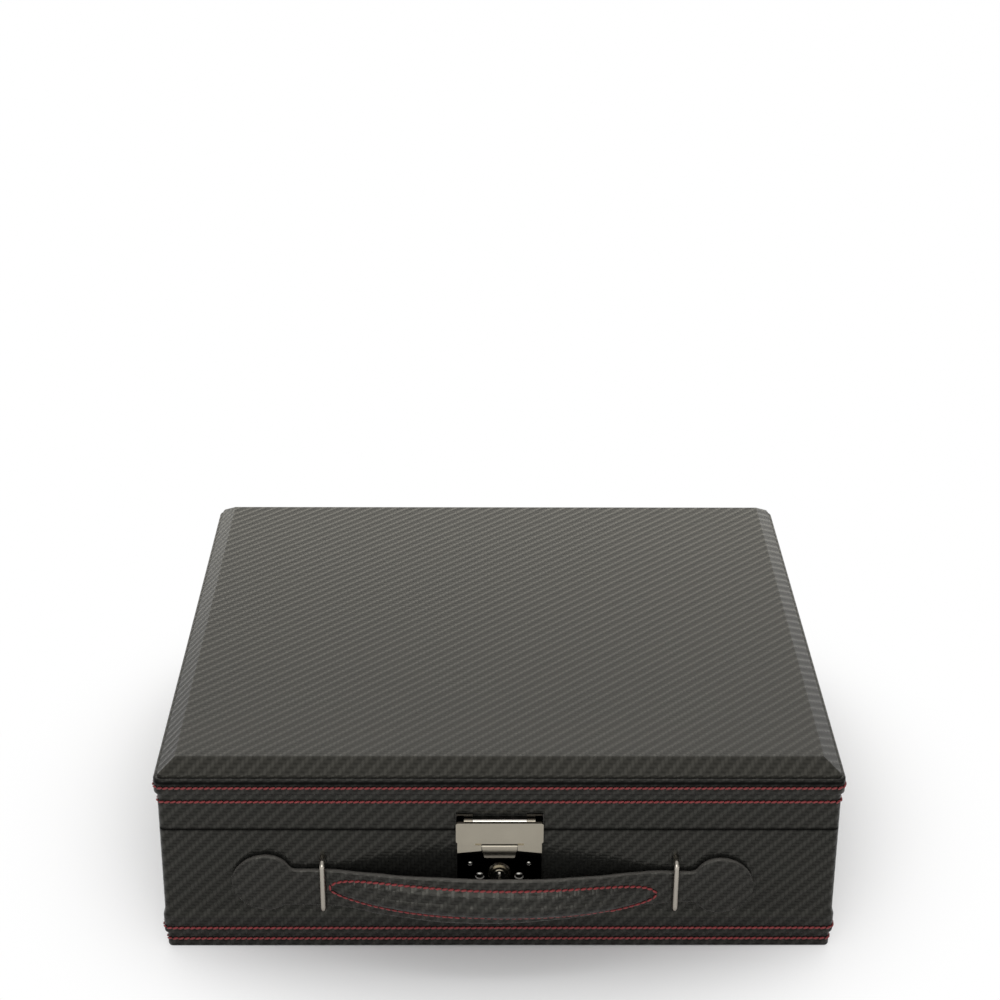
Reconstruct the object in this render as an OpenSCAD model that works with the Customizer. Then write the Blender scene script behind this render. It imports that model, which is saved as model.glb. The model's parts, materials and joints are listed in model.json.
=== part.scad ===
// Watch box: a leatherette-covered case with a bevelled hinged lid, a key-locked hasp and a
// sliding strap handle on its front. Millimetres, +Z up, front towards -Y.
// Origin: centre of the underside.

/* [Case] */
// Width of the case across its covered walls
case_w = 337; // [300:1:380]
// Depth of the case across its covered walls
case_d = 309; // [280:1:350]
// Height of the base up to its rim
base_h = 70.6; // [66:0.2:80]
// Gap between the two closed rims
rim_gap = 0.4; // [0.3:0.1:0.6]
// Height of the lid's covered wall below its lip
lid_wall_h = 20.2; // [18:0.2:26]
// Rounding of the upright corners
corner_r = 3; // [2:0.5:4]
// Thickness of the leatherette cover
skin_t = 1.2; // [1:0.1:1.4]
// Thickness of the wall boards
board_t = 9; // [8:0.5:10]
// Thickness of the floor board
floor_t = 5; // [4:0.5:6]

/* [Trim] */
// Height of the padded lip round the lid
lip_h = 9.1; // [8:0.1:11]
// How far the lip stands out from the lid's wall
lip_proud = 1.5; // [1:0.1:2]
// Edge rounding of the lip
lip_r = 1.2; // [0.8:0.1:1.3]
// Height of the band round the foot of the base
band_h = 11; // [8:0.5:14]
// How far the foot band stands out
band_proud = 0.9; // [0.6:0.1:1.4]
// Height of the plinth under the foot band
plinth_h = 9; // [7:0.5:11]
// How far the plinth stands back from the wall
plinth_inset = 0.6; // [0.4:0.1:1]

/* [Lid top] */
// Rise of the bevelled top above the lip
crown_h = 7.2; // [6:0.2:9]
// Height of the upright foot of the bevel
crown_foot_h = 1.4; // [1:0.1:2]
// Width of the bevel seen from above
bevel_w = 8.3; // [6:0.1:10]
// Ledge of the lip left bare round the bevel
crown_ledge = 2; // [1.5:0.1:2.5]
// Thickness of the board's part inside the lip
top_board_t = 5.3; // [4.5:0.1:6]

/* [Interior] */
// Thickness of the lining
lining_t = 1; // [0.8:0.1:1.2]
// Number of compartments in a row
columns = 6; // [5:1:7]
// Thickness of the dividers
divider_t = 3; // [2:0.5:4]
// Height of the dividers above the lined floor
divider_h = 50; // [44:1:54]
// Length of a pillow compartment
cell_len = 86; // [82:1:92]
// Height of a watch pillow
pillow_h = 42; // [36:1:46]
// Gap all round a pillow
pillow_gap = 1.2; // [0.8:0.1:1.6]
// Thickness of the padded panel in the lid
pad_t = 6; // [4:0.5:8]

/* [Hinges] */
// Distance of each hinge's middle from the case's middle
hinge_x = 95; // [80:1:110]
// Width of a hinge
hinge_w = 34; // [30:1:40]
// Thickness of a hinge leaf
leaf_t = 1.5; // [1.2:0.1:1.7]
// Radius of the hinge barrel
barrel_r = 2.4; // [2.2:0.1:2.6]
// Radius of the hinge pin
hinge_pin_r = 1; // [0.8:0.1:1.2]
// Angle at which the hinge heels stop the lid
lid_stop = 96; // [92:1:100]

/* [Hasp and lock] */
// Width of the hasp flap
flap_w = 43.2; // [40:0.2:46]
// Height of the flap's main plate
flap_h = 11.5; // [10:0.5:13]
// Height of the flap's thinner lower border
border_h = 5.9; // [5:0.1:6]
// Thickness of the flap
flap_t = 1.6; // [1.4:0.1:1.8]
// Height of the flap's hinge above the base rim
flap_axis_up = 6.8; // [6.4:0.1:7]
// Radius of the flap's hinge barrel
flap_barrel_r = 1.2; // [1.1:0.05:1.3]
// Width of the middle hinge barrel, which is rolled from the lid's plate
flap_barrel_w = 26.6; // [24:0.2:28]
// Width of the lift lever at its hinge
lever_w = 17.3; // [15:0.1:18]
// Length of the lift lever below its hinge
lever_len = 7.4; // [6:0.2:9]
// Thickness of the lock's front plate
plate_t = 1.5; // [1.2:0.1:1.8]
// Height of the key cylinder's axis above the bottom
key_z = 46.2; // [45:0.2:47]
// Radius of the key cylinder
key_r = 3.1; // [3:0.1:3.4]
// Radius of the fixed collar round the cylinder
collar_r = 5.8; // [5.2:0.1:6]
// Crank radius of the pin that drives the bolt
crank_r = 3.5; // [3.2:0.1:3.6]
// Radius of the bolt's nose
bolt_r = 1.1; // [0.9:0.1:1.2]

/* [Handle] */
// Distance between the two handle loops
loop_pitch = 176; // [174:1:178]
// Overall height of a handle loop
loop_h = 31; // [30:0.5:33]
// Radius of the loop's rod
rod_r = 1.4; // [1.2:0.1:1.5]
// How far the rod's middle stands out from the wall
loop_out = 6; // [5.8:0.1:7]
// Height of the loops' middle above the bottom
loop_z = 40.5; // [40:0.5:42]
// Height of the strap at its necks
strap_h = 20; // [18:0.2:22]
// Thickness of the strap
strap_t = 3; // [2.6:0.1:3.2]
// Distance between the middles of the two leaf-shaped ends
leaf_pitch = 226; // [224:1:232]
// Sideways rest position of the loose handle
handle_shift = -3; // [-4:0.5:0]
// Length of the padded grip
grip_len = 154; // [148:1:156]
// Height of the strap at the middle of the grip
grip_h = 26; // [24:0.5:28]
// How far the grip bows out at rest
grip_bow = 13; // [9:0.5:14]
// Thickness of the grip's padding at its middle
grip_pad_t = 7; // [6:0.5:9]

/* [Hidden] */
$fn = 48;

eps = 0.01;
seat = 0.05;        // radial clearance of a fixed pin or screw in its hole
run = 0.05;         // radial running clearance of a turning pin
slip = 0.3;         // gap between parts that move past each other

// Heights
rim_z = base_h;
lid_z = base_h + rim_gap;
lip_z = lid_z + lid_wall_h;
ledge_z = lip_z + lip_h;
top_z = ledge_z + crown_h;
board_z = ledge_z - top_board_t;

// Fall of the bevel's lower edge for each millimetre that the crown is drawn in
bevel_slope = atan2(crown_h - crown_foot_h, bevel_w);
knee_drop = tan(bevel_slope / 2);

// Plan sizes
frame_w = case_w - 2 * skin_t;
frame_d = case_d - 2 * skin_t;
inner_w = frame_w - 2 * board_t;
inner_d = frame_d - 2 * board_t;
room_w = inner_w - 2 * lining_t;
room_d = inner_d - 2 * lining_t;
frame_r = corner_r - skin_t;
front_y = -case_d / 2;

// Floor and plinth
sole_t = 1;                         // sheet under the case
floor_z = sole_t + floor_t + 2;     // top of the floor board
lined_floor_z = floor_z + lining_t;
sole_round = 1.5;

// Compartments
cell_w = (room_w - (columns - 1) * divider_t) / columns;
divider_end_gap = 0.3;
divider_slot_gap = 0.15;
back_divider_y = room_d / 2 - cell_len - divider_t / 2;
front_divider_y = back_divider_y - cell_len - divider_t;
pillow_side_r = 13;
pillow_end_r = 15;
pillow_crown = 0.5;

// Lid hinges
hinge_off = barrel_r + 0.4;
hinge_y = case_d / 2 + hinge_off;
hinge_z = base_h + rim_gap / 2;
leaf_inner_y = inner_d / 2 + 0.6;
leaf_free_y = hinge_y - barrel_r - 0.4;
knuckle_half = hinge_w * 0.2;
knuckle_gap = 0.3;
heel_r = 5.4;
heel_root_r = 0.6 * barrel_r;
heel_t = 1.4;
heel_lid_angle = 50;
heel_gap_angle = 2;
screw_r = 1.2;
screw_head_r = 2.3;
screw_len = 12;
hinge_screw_pitch = 12;
hinge_screw_y = (leaf_inner_y + leaf_free_y) / 2;

// Hasp: plate on the lid, flap hinged to it
hasp_plate_t = 1.2;
hasp_plate_w = 43.4;
hasp_plate_z = lid_z + 0.3;
hasp_plate_h = 9;
flap_axis_y = front_y - hasp_plate_t - flap_barrel_r - slip;
flap_axis_z = base_h + flap_axis_up;
flap_pin_r = 0.65;
flap_side_barrel = 4;
flap_back_y = flap_axis_y - flap_barrel_r - 0.2;
flap_front_y = flap_back_y - flap_t;
flap_top_z = flap_axis_z + 0.4;
flap_mid_z = flap_top_z - flap_h;
flap_low_z = flap_mid_z - border_h;
border_w = flap_w - 1.4;
border_step = 0.4;
border_rise = 1.3;
flap_side_t = 1.2;
flap_corner_r = 1.2;
rivet_x = 17.7;
rivet_z = hasp_plate_z + 2.6;
rivet_r = 1;

// Lift lever, hinged in the flap's lower border
lever_axis_y = flap_back_y - 1;
lever_axis_z = flap_mid_z - 2;
lever_barrel_r = 1.1;
lever_pin_r = 0.6;
lever_tip_w = lever_w - 2.3;
lever_plate_t = 1.3;
lever_side_gap = 0.3;
lever_room_z = lever_axis_z + lever_barrel_r + lever_side_gap;
ear_w = 3.1;
ear_half_h = 1.2;

// Lug on the flap's back: a ring sector about the flap's hinge, on a root with a tenon
lug_in_r = 10.4;
lug_out_r = 18;
lug_w = 4;
lug_top_z = flap_axis_z - 10.2;
lug_root_t = 2;
lug_root_z = flap_axis_z - 6.8;
lug_tenon = 0.8;
lug_window = 0.4;                   // gap round the bolt's nose in the lug's window
nose_path_r = 14.8;

// Lock
plate_w = 41.8;
plate_front_y = front_y - plate_t;
plate_low_z = 34;
plate_top_z = flap_axis_z - 8.2;
lock_backing = 1.9;                 // board left behind the lock case
case_depth = skin_t + board_t - lock_backing;
case_wall = 0.8;
case_back_y = front_y + case_depth;
case_half_w = 13;
lug_depth = case_back_y - case_wall - slip - flap_axis_y;
case_top_z = lug_top_z + slip + case_wall;
case_low_z = plate_low_z + 0.6;
collar_flange = 2.2;
collar_step = 1;
collar_bevel = 0.5;
collar_step_r = key_r + 1.5;
collar_barrel_r = key_r + 0.9;
collar_end_y = front_y + 1.9;
cam_y = collar_end_y + slip;
cam_t = 1;
cam_r = crank_r + 1.2;
crank_pin_r = 0.8;
crank_slot = 0.2;
bolt_y = cam_y + cam_t + slip;
bolt_t = 2.4;
bolt_mid_y = bolt_y + bolt_t / 2;
bolt_nose_z = flap_axis_z - sqrt(pow(nose_path_r, 2) - pow(bolt_mid_y - flap_axis_y, 2));
bolt_travel = 2 * crank_r * sin(45);
bolt_tip_x = -lug_w / 2 - 0.5;
bolt_arm_x = -lug_w / 2 - slip - bolt_travel;
bolt_arm_w = 3.2;
bolt_low_z = case_low_z + case_wall + 2.6;
bolt_body_h = key_z + crank_r + 4 - bolt_low_z;
guide_t = case_back_y - case_wall - (bolt_y + bolt_t) - slip;
lock_screw_r = 0.9;
lock_screw_len = bolt_y - slip - plate_front_y;
lock_screw_big = [2.2, 0.9];        // radius and height of the domed heads
lock_screw_small = [1.1, 0.4];
lock_screw_low = [9.8, 44.2];
lock_screw_high = [14.6, 51.6];
lock_screw_places = [
    [-lock_screw_low[0], lock_screw_low[1]], lock_screw_low,
    [-lock_screw_high[0], lock_screw_high[1]], lock_screw_high
];

// Handle
strap_z = loop_z - 2.1;
wall_gap = 0.4;
strap_back_y = front_y - wall_gap;
strap_front_y = strap_back_y - strap_t;
loop_x = loop_pitch / 2;
loop_bend_r = 3;
loop_leg_z = loop_h / 2 - rod_r;
loop_end_y = front_y + skin_t + board_t;
leaf_h = 32.4;
leaf_tip = 17.4;
leaf_up = [2.6, 0.7];               // rise of the left and the right leaf above the strap
leaf_tip_up = [3.5, -1.1];          // rise of their tips above the leaves' middles
leaf_inner_r = 13;
leaf_fillet_r = 4;
scarf_angle = 32;
scarf_gap = 0.3;
grip_half = grip_len / 2;
bow_r = (pow(grip_half, 2) + pow(grip_bow, 2)) / (2 * grip_bow);
bow_y = strap_back_y - strap_t / 2 - grip_bow + bow_r;
bow_angle = asin(grip_half / bow_r);
pad_half_h = 8;
pad_front = grip_pad_t * 0.62;
pad_back = grip_pad_t - pad_front;
pad_half = grip_half - 4;
pad_mid_y = bow_y - bow_r;
pad_end_y = bow_y - sqrt(pow(bow_r, 2) - pow(pad_half, 2));

// Radius of an arc from half its chord and its rise
function arc_r(half, rise) = (half * half + rise * rise) / (2 * rise);

// ---------- shared shapes ----------

module rounded_rect(w, d, r) {
    square([w - 2 * r, d], center = true);
    square([w, d - 2 * r], center = true);
    for (sx = [-1, 1], sy = [-1, 1])
        translate([sx * (w / 2 - r), sy * (d / 2 - r)])
            circle(r);
}

// Upright slab of a rounded plan between two heights
module slab(w, d, r, z0, z1) {
    translate([0, 0, z0])
        linear_extrude(z1 - z0)
            rounded_rect(w, d, r);
}

// Sweeps a profile round a rounded rectangle: profile x points outwards, profile y upwards
module around(w, d, r) {
    for (turn = [0, 180]) rotate(turn) {
        translate([r - w / 2, -d / 2, 0])
            rotate([90, 0, 90])
                linear_extrude(w - 2 * r)
                    mirror([1, 0])
                        children();
        translate([w / 2, d / 2 - r, 0])
            rotate([90, 0, 0])
                linear_extrude(d - 2 * r)
                    children();
        for (side = [-1, 1])
            translate([w / 2 - r, side * (d / 2 - r), 0])
                rotate(side < 0 ? -90 : 0)
                    rotate_extrude(angle = 90)
                        translate([r, 0])
                            children();
    }
}

// Rod along X, Y or Z from a starting point
module rod_x(x, y, z, len, r) {
    translate([x, y, z]) rotate([0, 90, 0]) cylinder(h = len, r = r);
}

module rod_y(x, y, z, len, r) {
    translate([x, y, z]) rotate([-90, 0, 0]) cylinder(h = len, r = r);
}

module at_hinges() {
    for (side = [-1, 1])
        translate([side * hinge_x, 0, 0])
            children();
}

// ---------- hinge and lock pockets cut from the boards and covers ----------

module leaf_pocket(z0, z1) {
    at_hinges()
        translate([-hinge_w / 2 - seat, leaf_inner_y - seat, z0])
            cube([hinge_w + 2 * seat, case_d, z1 - z0]);
}

module hinge_screw_holes(z0, z1) {
    at_hinges()
        for (i = [-1, 0, 1])
            translate([i * hinge_screw_pitch, hinge_screw_y, z0])
                cylinder(h = z1 - z0, r = screw_r + seat);
}

module lock_pocket() {
    translate([-case_half_w - slip, front_y - eps, case_low_z - slip])
        cube([
            2 * (case_half_w + slip),
            case_depth + slip + eps,
            case_top_z - case_low_z + 2 * slip
        ]);
}

module lock_screw_holes(r) {
    for (p = lock_screw_places)
        rod_y(p[0], plate_front_y - eps, p[1], board_t, r);
}

module loop_leg_holes() {
    for (side = [-1, 1], up = [-1, 1])
        rod_y(side * loop_x, front_y - eps, loop_z + up * loop_leg_z,
            skin_t + board_t + 2 * eps, rod_r + seat);
}

module rivet_holes() {
    for (side = [-1, 1])
        rod_y(side * rivet_x, front_y - eps, rivet_z, skin_t + board_t + 2 * eps, rivet_r + seat);
}

// ---------- base ----------

module base_frame() {
    color("tan")
        difference() {
            slab(frame_w, frame_d, frame_r, sole_t, rim_z - skin_t);
            translate([-inner_w / 2, -inner_d / 2, sole_t - eps])
                cube([inner_w, inner_d, base_h]);
            leaf_pocket(rim_z - leaf_t, rim_z);
            hinge_screw_holes(rim_z - leaf_t - screw_len, rim_z);
            lock_pocket();
            lock_screw_holes(lock_screw_r + seat);
            loop_leg_holes();
        }
}

module base_floor() {
    color("burlywood")
        translate([-inner_w / 2, -inner_d / 2, floor_z - floor_t])
            cube([inner_w, inner_d, floor_t]);
}

module base_cover() {
    color("#2e2e2c")
        difference() {
            slab(case_w, case_d, corner_r, plinth_h, rim_z);
            slab(frame_w, frame_d, frame_r, plinth_h - eps, rim_z - skin_t);
            translate([-inner_w / 2, -inner_d / 2, plinth_h])
                cube([inner_w, inner_d, base_h]);
            leaf_pocket(rim_z - leaf_t, rim_z + eps);
            lock_pocket();
            lock_screw_holes(lock_screw_r + seat);
            loop_leg_holes();
        }
}

module foot_band() {
    color("#2a2a28")
        around(case_w, case_d, corner_r)
            translate([0, plinth_h]) {
                translate([0, band_proud]) square([band_proud, band_h - 2 * band_proud]);
                intersection() {
                    translate([0, band_proud]) circle(band_proud);
                    square(band_proud);
                }
                translate([0, band_h - band_proud])
                    intersection() {
                        circle(band_proud);
                        square(band_proud);
                    }
            }
}

module plinth_cover() {
    plinth_w = case_w - 2 * plinth_inset;
    plinth_d = case_d - 2 * plinth_inset;
    plinth_r = corner_r - plinth_inset;
    color("#2a2a28")
        difference() {
            union() {
                slab(plinth_w, plinth_d, plinth_r, sole_round, plinth_h);
                slab(plinth_w - 2 * sole_round, plinth_d - 2 * sole_round,
                    plinth_r - sole_round, 0, sole_round);
                around(plinth_w - 2 * sole_round, plinth_d - 2 * sole_round,
                    plinth_r - sole_round)
                    translate([0, sole_round])
                        intersection() {
                            circle(sole_round);
                            translate([0, -sole_round]) square(sole_round);
                        }
            }
            slab(frame_w, frame_d, frame_r, sole_t, plinth_h + eps);
        }
}

module base_lining() {
    color("#3a3836")
        difference() {
            translate([-inner_w / 2, -inner_d / 2, floor_z])
                cube([inner_w, inner_d, rim_z - skin_t - floor_z]);
            translate([-room_w / 2, -room_d / 2, lined_floor_z])
                cube([room_w, room_d, base_h]);
        }
}

// ---------- compartments ----------

function divider_x(i) = -room_w / 2 + i * cell_w + (i - 0.5) * divider_t;
function cell_x(i) = -room_w / 2 + (i - 0.5) * cell_w + (i - 1) * divider_t;

// Runs from side to side and is notched from its top edge
module long_divider(y) {
    color("#35332f")
        difference() {
            translate([-room_w / 2 + divider_end_gap, y - divider_t / 2, lined_floor_z])
                cube([room_w - 2 * divider_end_gap, divider_t, divider_h]);
            for (i = [1 : columns - 1])
                translate([
                    divider_x(i) - divider_t / 2 - divider_slot_gap,
                    y - divider_t,
                    lined_floor_z + divider_h / 2
                ])
                    cube([divider_t + 2 * divider_slot_gap, 2 * divider_t, divider_h]);
        }
}

// Runs from front to back and is notched from its bottom edge
module short_divider(i) {
    if (i < columns)
        color("#35332f")
            difference() {
                translate([
                    divider_x(i) - divider_t / 2,
                    -room_d / 2 + divider_end_gap,
                    lined_floor_z
                ])
                    cube([divider_t, room_d - 2 * divider_end_gap, divider_h]);
                for (y = [front_divider_y, back_divider_y])
                    translate([
                        divider_x(i) - divider_t,
                        y - divider_t / 2 - divider_slot_gap,
                        lined_floor_z - divider_h / 2
                    ])
                        cube([2 * divider_t, divider_t + 2 * divider_slot_gap, divider_h]);
            }
}

// Crowned cushion that fills one compartment
module pillow(i, row_y) {
    w = cell_w - 2 * pillow_gap;
    pillow_len = cell_len - 2 * pillow_gap;
    if (i <= columns)
        color("#4a4744")
            translate([cell_x(i), row_y, lined_floor_z + pillow_h / 2])
                intersection() {
                    rotate([90, 0, 0])
                        linear_extrude(pillow_len + pillow_gap, center = true)
                            rounded_rect(w, pillow_h, pillow_side_r);
                    rotate([90, 0, 90])
                        linear_extrude(w + pillow_gap, center = true)
                            rounded_rect(pillow_len, pillow_h + pillow_crown, pillow_end_r);
                }
}

back_row_y = room_d / 2 - cell_len / 2;
middle_row_y = back_row_y - cell_len - divider_t;

// ---------- lid hinges ----------

// Flat rib that stands out from the barrel along a radius
module heel(angle, x0, x1, r0, above) {
    translate([0, hinge_y, hinge_z])
        rotate([angle, 0, 0])
            translate([x0, r0, above ? 0 : -heel_t])
                cube([x1 - x0, heel_r - r0, heel_t]);
}

module countersink(z, up) {
    for (i = [-1, 0, 1])
        translate([i * hinge_screw_pitch, hinge_screw_y, z])
            rotate([up ? 0 : 180, 0, 0]) {
                translate([0, 0, -leaf_t])
                    cylinder(h = leaf_t, r1 = screw_r + seat, r2 = screw_head_r + seat);
            }
}

module hinge_base_leaf() {
    gap_half = knuckle_half + knuckle_gap;
    color("silver")
        difference() {
            union() {
                translate([-hinge_w / 2, leaf_inner_y, rim_z - leaf_t])
                    cube([hinge_w, hinge_y - leaf_inner_y, leaf_t]);
                rod_x(-hinge_w / 2, hinge_y, hinge_z, hinge_w, barrel_r);
                heel(heel_lid_angle - lid_stop - heel_gap_angle, -hinge_w / 2, hinge_w / 2,
                    heel_root_r, false);
            }
            // room for the lid's knuckle
            rod_x(-gap_half, hinge_y, hinge_z, 2 * gap_half, barrel_r + slip);
            rod_x(-hinge_w, hinge_y, hinge_z, 2 * hinge_w, hinge_pin_r + seat);
            countersink(rim_z, true);
        }
}

module hinge_lid_leaf() {
    color("silver")
        difference() {
            union() {
                translate([-hinge_w / 2, leaf_inner_y, lid_z])
                    cube([hinge_w, leaf_free_y - leaf_inner_y, leaf_t]);
                translate([-knuckle_half, leaf_inner_y, lid_z])
                    cube([2 * knuckle_half, hinge_y - leaf_inner_y, leaf_t]);
                rod_x(-knuckle_half, hinge_y, hinge_z, 2 * knuckle_half, barrel_r);
                heel(heel_lid_angle, -knuckle_half, knuckle_half, heel_root_r, true);
            }
            rod_x(-hinge_w, hinge_y, hinge_z, 2 * hinge_w, hinge_pin_r + run);
            countersink(lid_z, false);
        }
}

module hinge_pin() {
    color("gainsboro")
        rod_x(-hinge_w / 2, hinge_y, hinge_z, hinge_w, hinge_pin_r);
}

module hinge_screws(z, up) {
    color("gainsboro")
        at_hinges()
            for (i = [-1, 0, 1])
                translate([i * hinge_screw_pitch, hinge_screw_y, z])
                    rotate([up ? 0 : 180, 0, 0]) {
                        translate([0, 0, -leaf_t])
                            cylinder(h = leaf_t, r1 = screw_r, r2 = screw_head_r);
                        translate([0, 0, -leaf_t - screw_len + 1])
                            cylinder(h = screw_len - 1 + eps, r = screw_r);
                    }
}

// ---------- lid ----------

module lid_frame() {
    color("tan")
        difference() {
            slab(frame_w, frame_d, frame_r, lid_z + skin_t, board_z);
            translate([-inner_w / 2, -inner_d / 2, lid_z])
                cube([inner_w, inner_d, board_z]);
            leaf_pocket(lid_z, lid_z + leaf_t);
            hinge_screw_holes(lid_z, lid_z + leaf_t + screw_len);
            rivet_holes();
        }
}

// Bevelled block on the lip, with upright edges that are drawn in by an inset
module crown(inset, z0) {
    w = case_w + 2 * lip_proud - 2 * crown_ledge - 2 * inset;
    d = case_d + 2 * lip_proud - 2 * crown_ledge - 2 * inset;
    knee_z = ledge_z + crown_foot_h - inset * knee_drop;
    intersection() {
        rotate([90, 0, 0])
            linear_extrude(2 * d, center = true)
                crown_profile(w, z0, knee_z, top_z - inset);
        rotate([90, 0, 90])
            linear_extrude(2 * w, center = true)
                crown_profile(d, z0, knee_z, top_z - inset);
        slab(w, d, corner_r, z0, top_z);
    }
}

module crown_profile(w, z0, z1, z2) {
    polygon([
        [-w / 2, z0],
        [w / 2, z0],
        [w / 2, z1],
        [w / 2 - bevel_w, z2],
        [bevel_w - w / 2, z2],
        [-w / 2, z1]
    ]);
}

module lid_top_board() {
    color("burlywood") {
        union() {
            slab(frame_w, frame_d, frame_r, board_z, ledge_z);
            crown(skin_t, ledge_z - eps);
        }
    }
}

module lid_top_skin() {
    color("#454541")
        difference() {
            crown(0, ledge_z);
            crown(skin_t, ledge_z - 1);
        }
}

module lid_cover() {
    color("#2e2e2c")
        difference() {
            slab(case_w, case_d, corner_r, lid_z, lip_z);
            slab(frame_w, frame_d, frame_r, lid_z + skin_t, lip_z + eps);
            translate([-inner_w / 2, -inner_d / 2, lid_z - eps])
                cube([inner_w, inner_d, base_h]);
            leaf_pocket(lid_z - eps, lid_z + leaf_t);
            rivet_holes();
        }
}

module lid_lip() {
    lip_t = lip_proud + skin_t;
    color("#2e2e2c")
        around(frame_w, frame_d, frame_r)
            translate([0, lip_z]) {
                square([lip_t - lip_r, lip_h]);
                translate([0, lip_r]) square([lip_t, lip_h - 2 * lip_r]);
                for (y = [lip_r, lip_h - lip_r])
                    translate([lip_t - lip_r, y])
                        circle(lip_r);
            }
}

module lid_lining() {
    color("#3a3836")
        difference() {
            translate([-inner_w / 2, -inner_d / 2, lid_z + skin_t])
                cube([inner_w, inner_d, board_z - lid_z - skin_t]);
            translate([-room_w / 2, -room_d / 2, lid_z])
                cube([room_w, room_d, board_z - lining_t - lid_z]);
        }
}

module lid_pad() {
    pad_margin = 1;
    pad_r = 2.5;
    w = room_w - 2 * pad_margin;
    d = room_d - 2 * pad_margin;
    color("#4a4744")
        translate([0, 0, board_z - lining_t - pad_t / 2])
            intersection() {
                rotate([90, 0, 0])
                    linear_extrude(d, center = true)
                        padded_edge(w, pad_r);
                rotate([90, 0, 90])
                    linear_extrude(w, center = true)
                        padded_edge(d, pad_r);
            }
}

// Flat panel section whose lower edges are rounded
module padded_edge(w, r) {
    translate([-w / 2, r - pad_t / 2]) square([w, pad_t - r]);
    translate([r - w / 2, -pad_t / 2]) square([w - 2 * r, pad_t]);
    for (side = [-1, 1])
        translate([side * (w / 2 - r), r - pad_t / 2])
            circle(r);
}

// ---------- hasp ----------

// Plate on the lid whose middle is rolled forward into a barrel
module hasp_plate() {
    barrel_x = -flap_barrel_w / 2;
    notch_z = flap_axis_z + flap_barrel_r;
    color("#5a5753")
        difference() {
            union() {
                difference() {
                    translate([-hasp_plate_w / 2, front_y - hasp_plate_t, hasp_plate_z])
                        cube([hasp_plate_w, hasp_plate_t, hasp_plate_h]);
                    translate([barrel_x, front_y - 2 * hasp_plate_t, notch_z])
                        cube([flap_barrel_w, 3 * hasp_plate_t, hasp_plate_h]);
                }
                rod_x(barrel_x, flap_axis_y, flap_axis_z, flap_barrel_w, flap_barrel_r);
                translate([barrel_x, flap_axis_y, flap_axis_z])
                    cube([flap_barrel_w, front_y - flap_axis_y, flap_barrel_r]);
            }
            rod_x(-flap_w, flap_axis_y, flap_axis_z, 2 * flap_w, flap_pin_r + seat);
            for (side = [-1, 1])
                rod_y(side * rivet_x, front_y - board_t, rivet_z, 2 * board_t, rivet_r + seat);
        }
}

module hasp_rivets() {
    color("gainsboro")
        for (side = [-1, 1])
            rod_y(side * rivet_x, front_y - hasp_plate_t, rivet_z,
                hasp_plate_t + skin_t + board_t, rivet_r);
}

module hasp_pin() {
    pin_w = flap_barrel_w + 2 * slip + 2 * flap_side_barrel;
    color("gainsboro")
        rod_x(-pin_w / 2, flap_axis_y, flap_axis_z, pin_w, flap_pin_r);
}

// Ring sector that follows its own circle about the flap's hinge into the lock, where the
// bolt's nose enters its window; its root is tenoned into the flap's back
module hasp_lug() {
    lever_clear_y = lever_axis_y + lever_barrel_r + slip;
    window = 2 * (bolt_r + lug_window);
    color("#cfcac0")
        difference() {
            union() {
                intersection() {
                    rod_x(-lug_w / 2, flap_axis_y, flap_axis_z, lug_w, lug_out_r);
                    translate([-lug_w / 2, flap_back_y, flap_axis_z - lug_out_r])
                        cube([
                            lug_w,
                            flap_axis_y + lug_depth - flap_back_y,
                            lug_top_z - flap_axis_z + lug_out_r
                        ]);
                }
                translate([-lug_w / 2, flap_back_y, lug_top_z - lug_root_t])
                    cube([lug_w, lug_root_t, lug_root_z - lug_top_z + lug_root_t]);
                translate([-lug_w / 2, flap_back_y - lug_tenon, lever_room_z])
                    cube([lug_w, lug_tenon + eps, lug_top_z - lever_room_z]);
            }
            difference() {
                rod_x(-lug_w, flap_axis_y, flap_axis_z, 2 * lug_w, lug_in_r);
                translate([-lug_w, flap_back_y, lug_top_z - lug_root_t])
                    cube([2 * lug_w, lug_root_t, lug_out_r]);
            }
            translate([-lug_w, bolt_mid_y - window / 2, bolt_nose_z - window / 2])
                cube([2 * lug_w, window, window]);
            translate([-lug_w, flap_back_y - lug_w, lever_axis_z - lug_out_r])
                cube([
                    2 * lug_w,
                    lever_clear_y - flap_back_y + lug_w,
                    lever_room_z - lever_axis_z + lug_out_r
                ]);
        }
}

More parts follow.
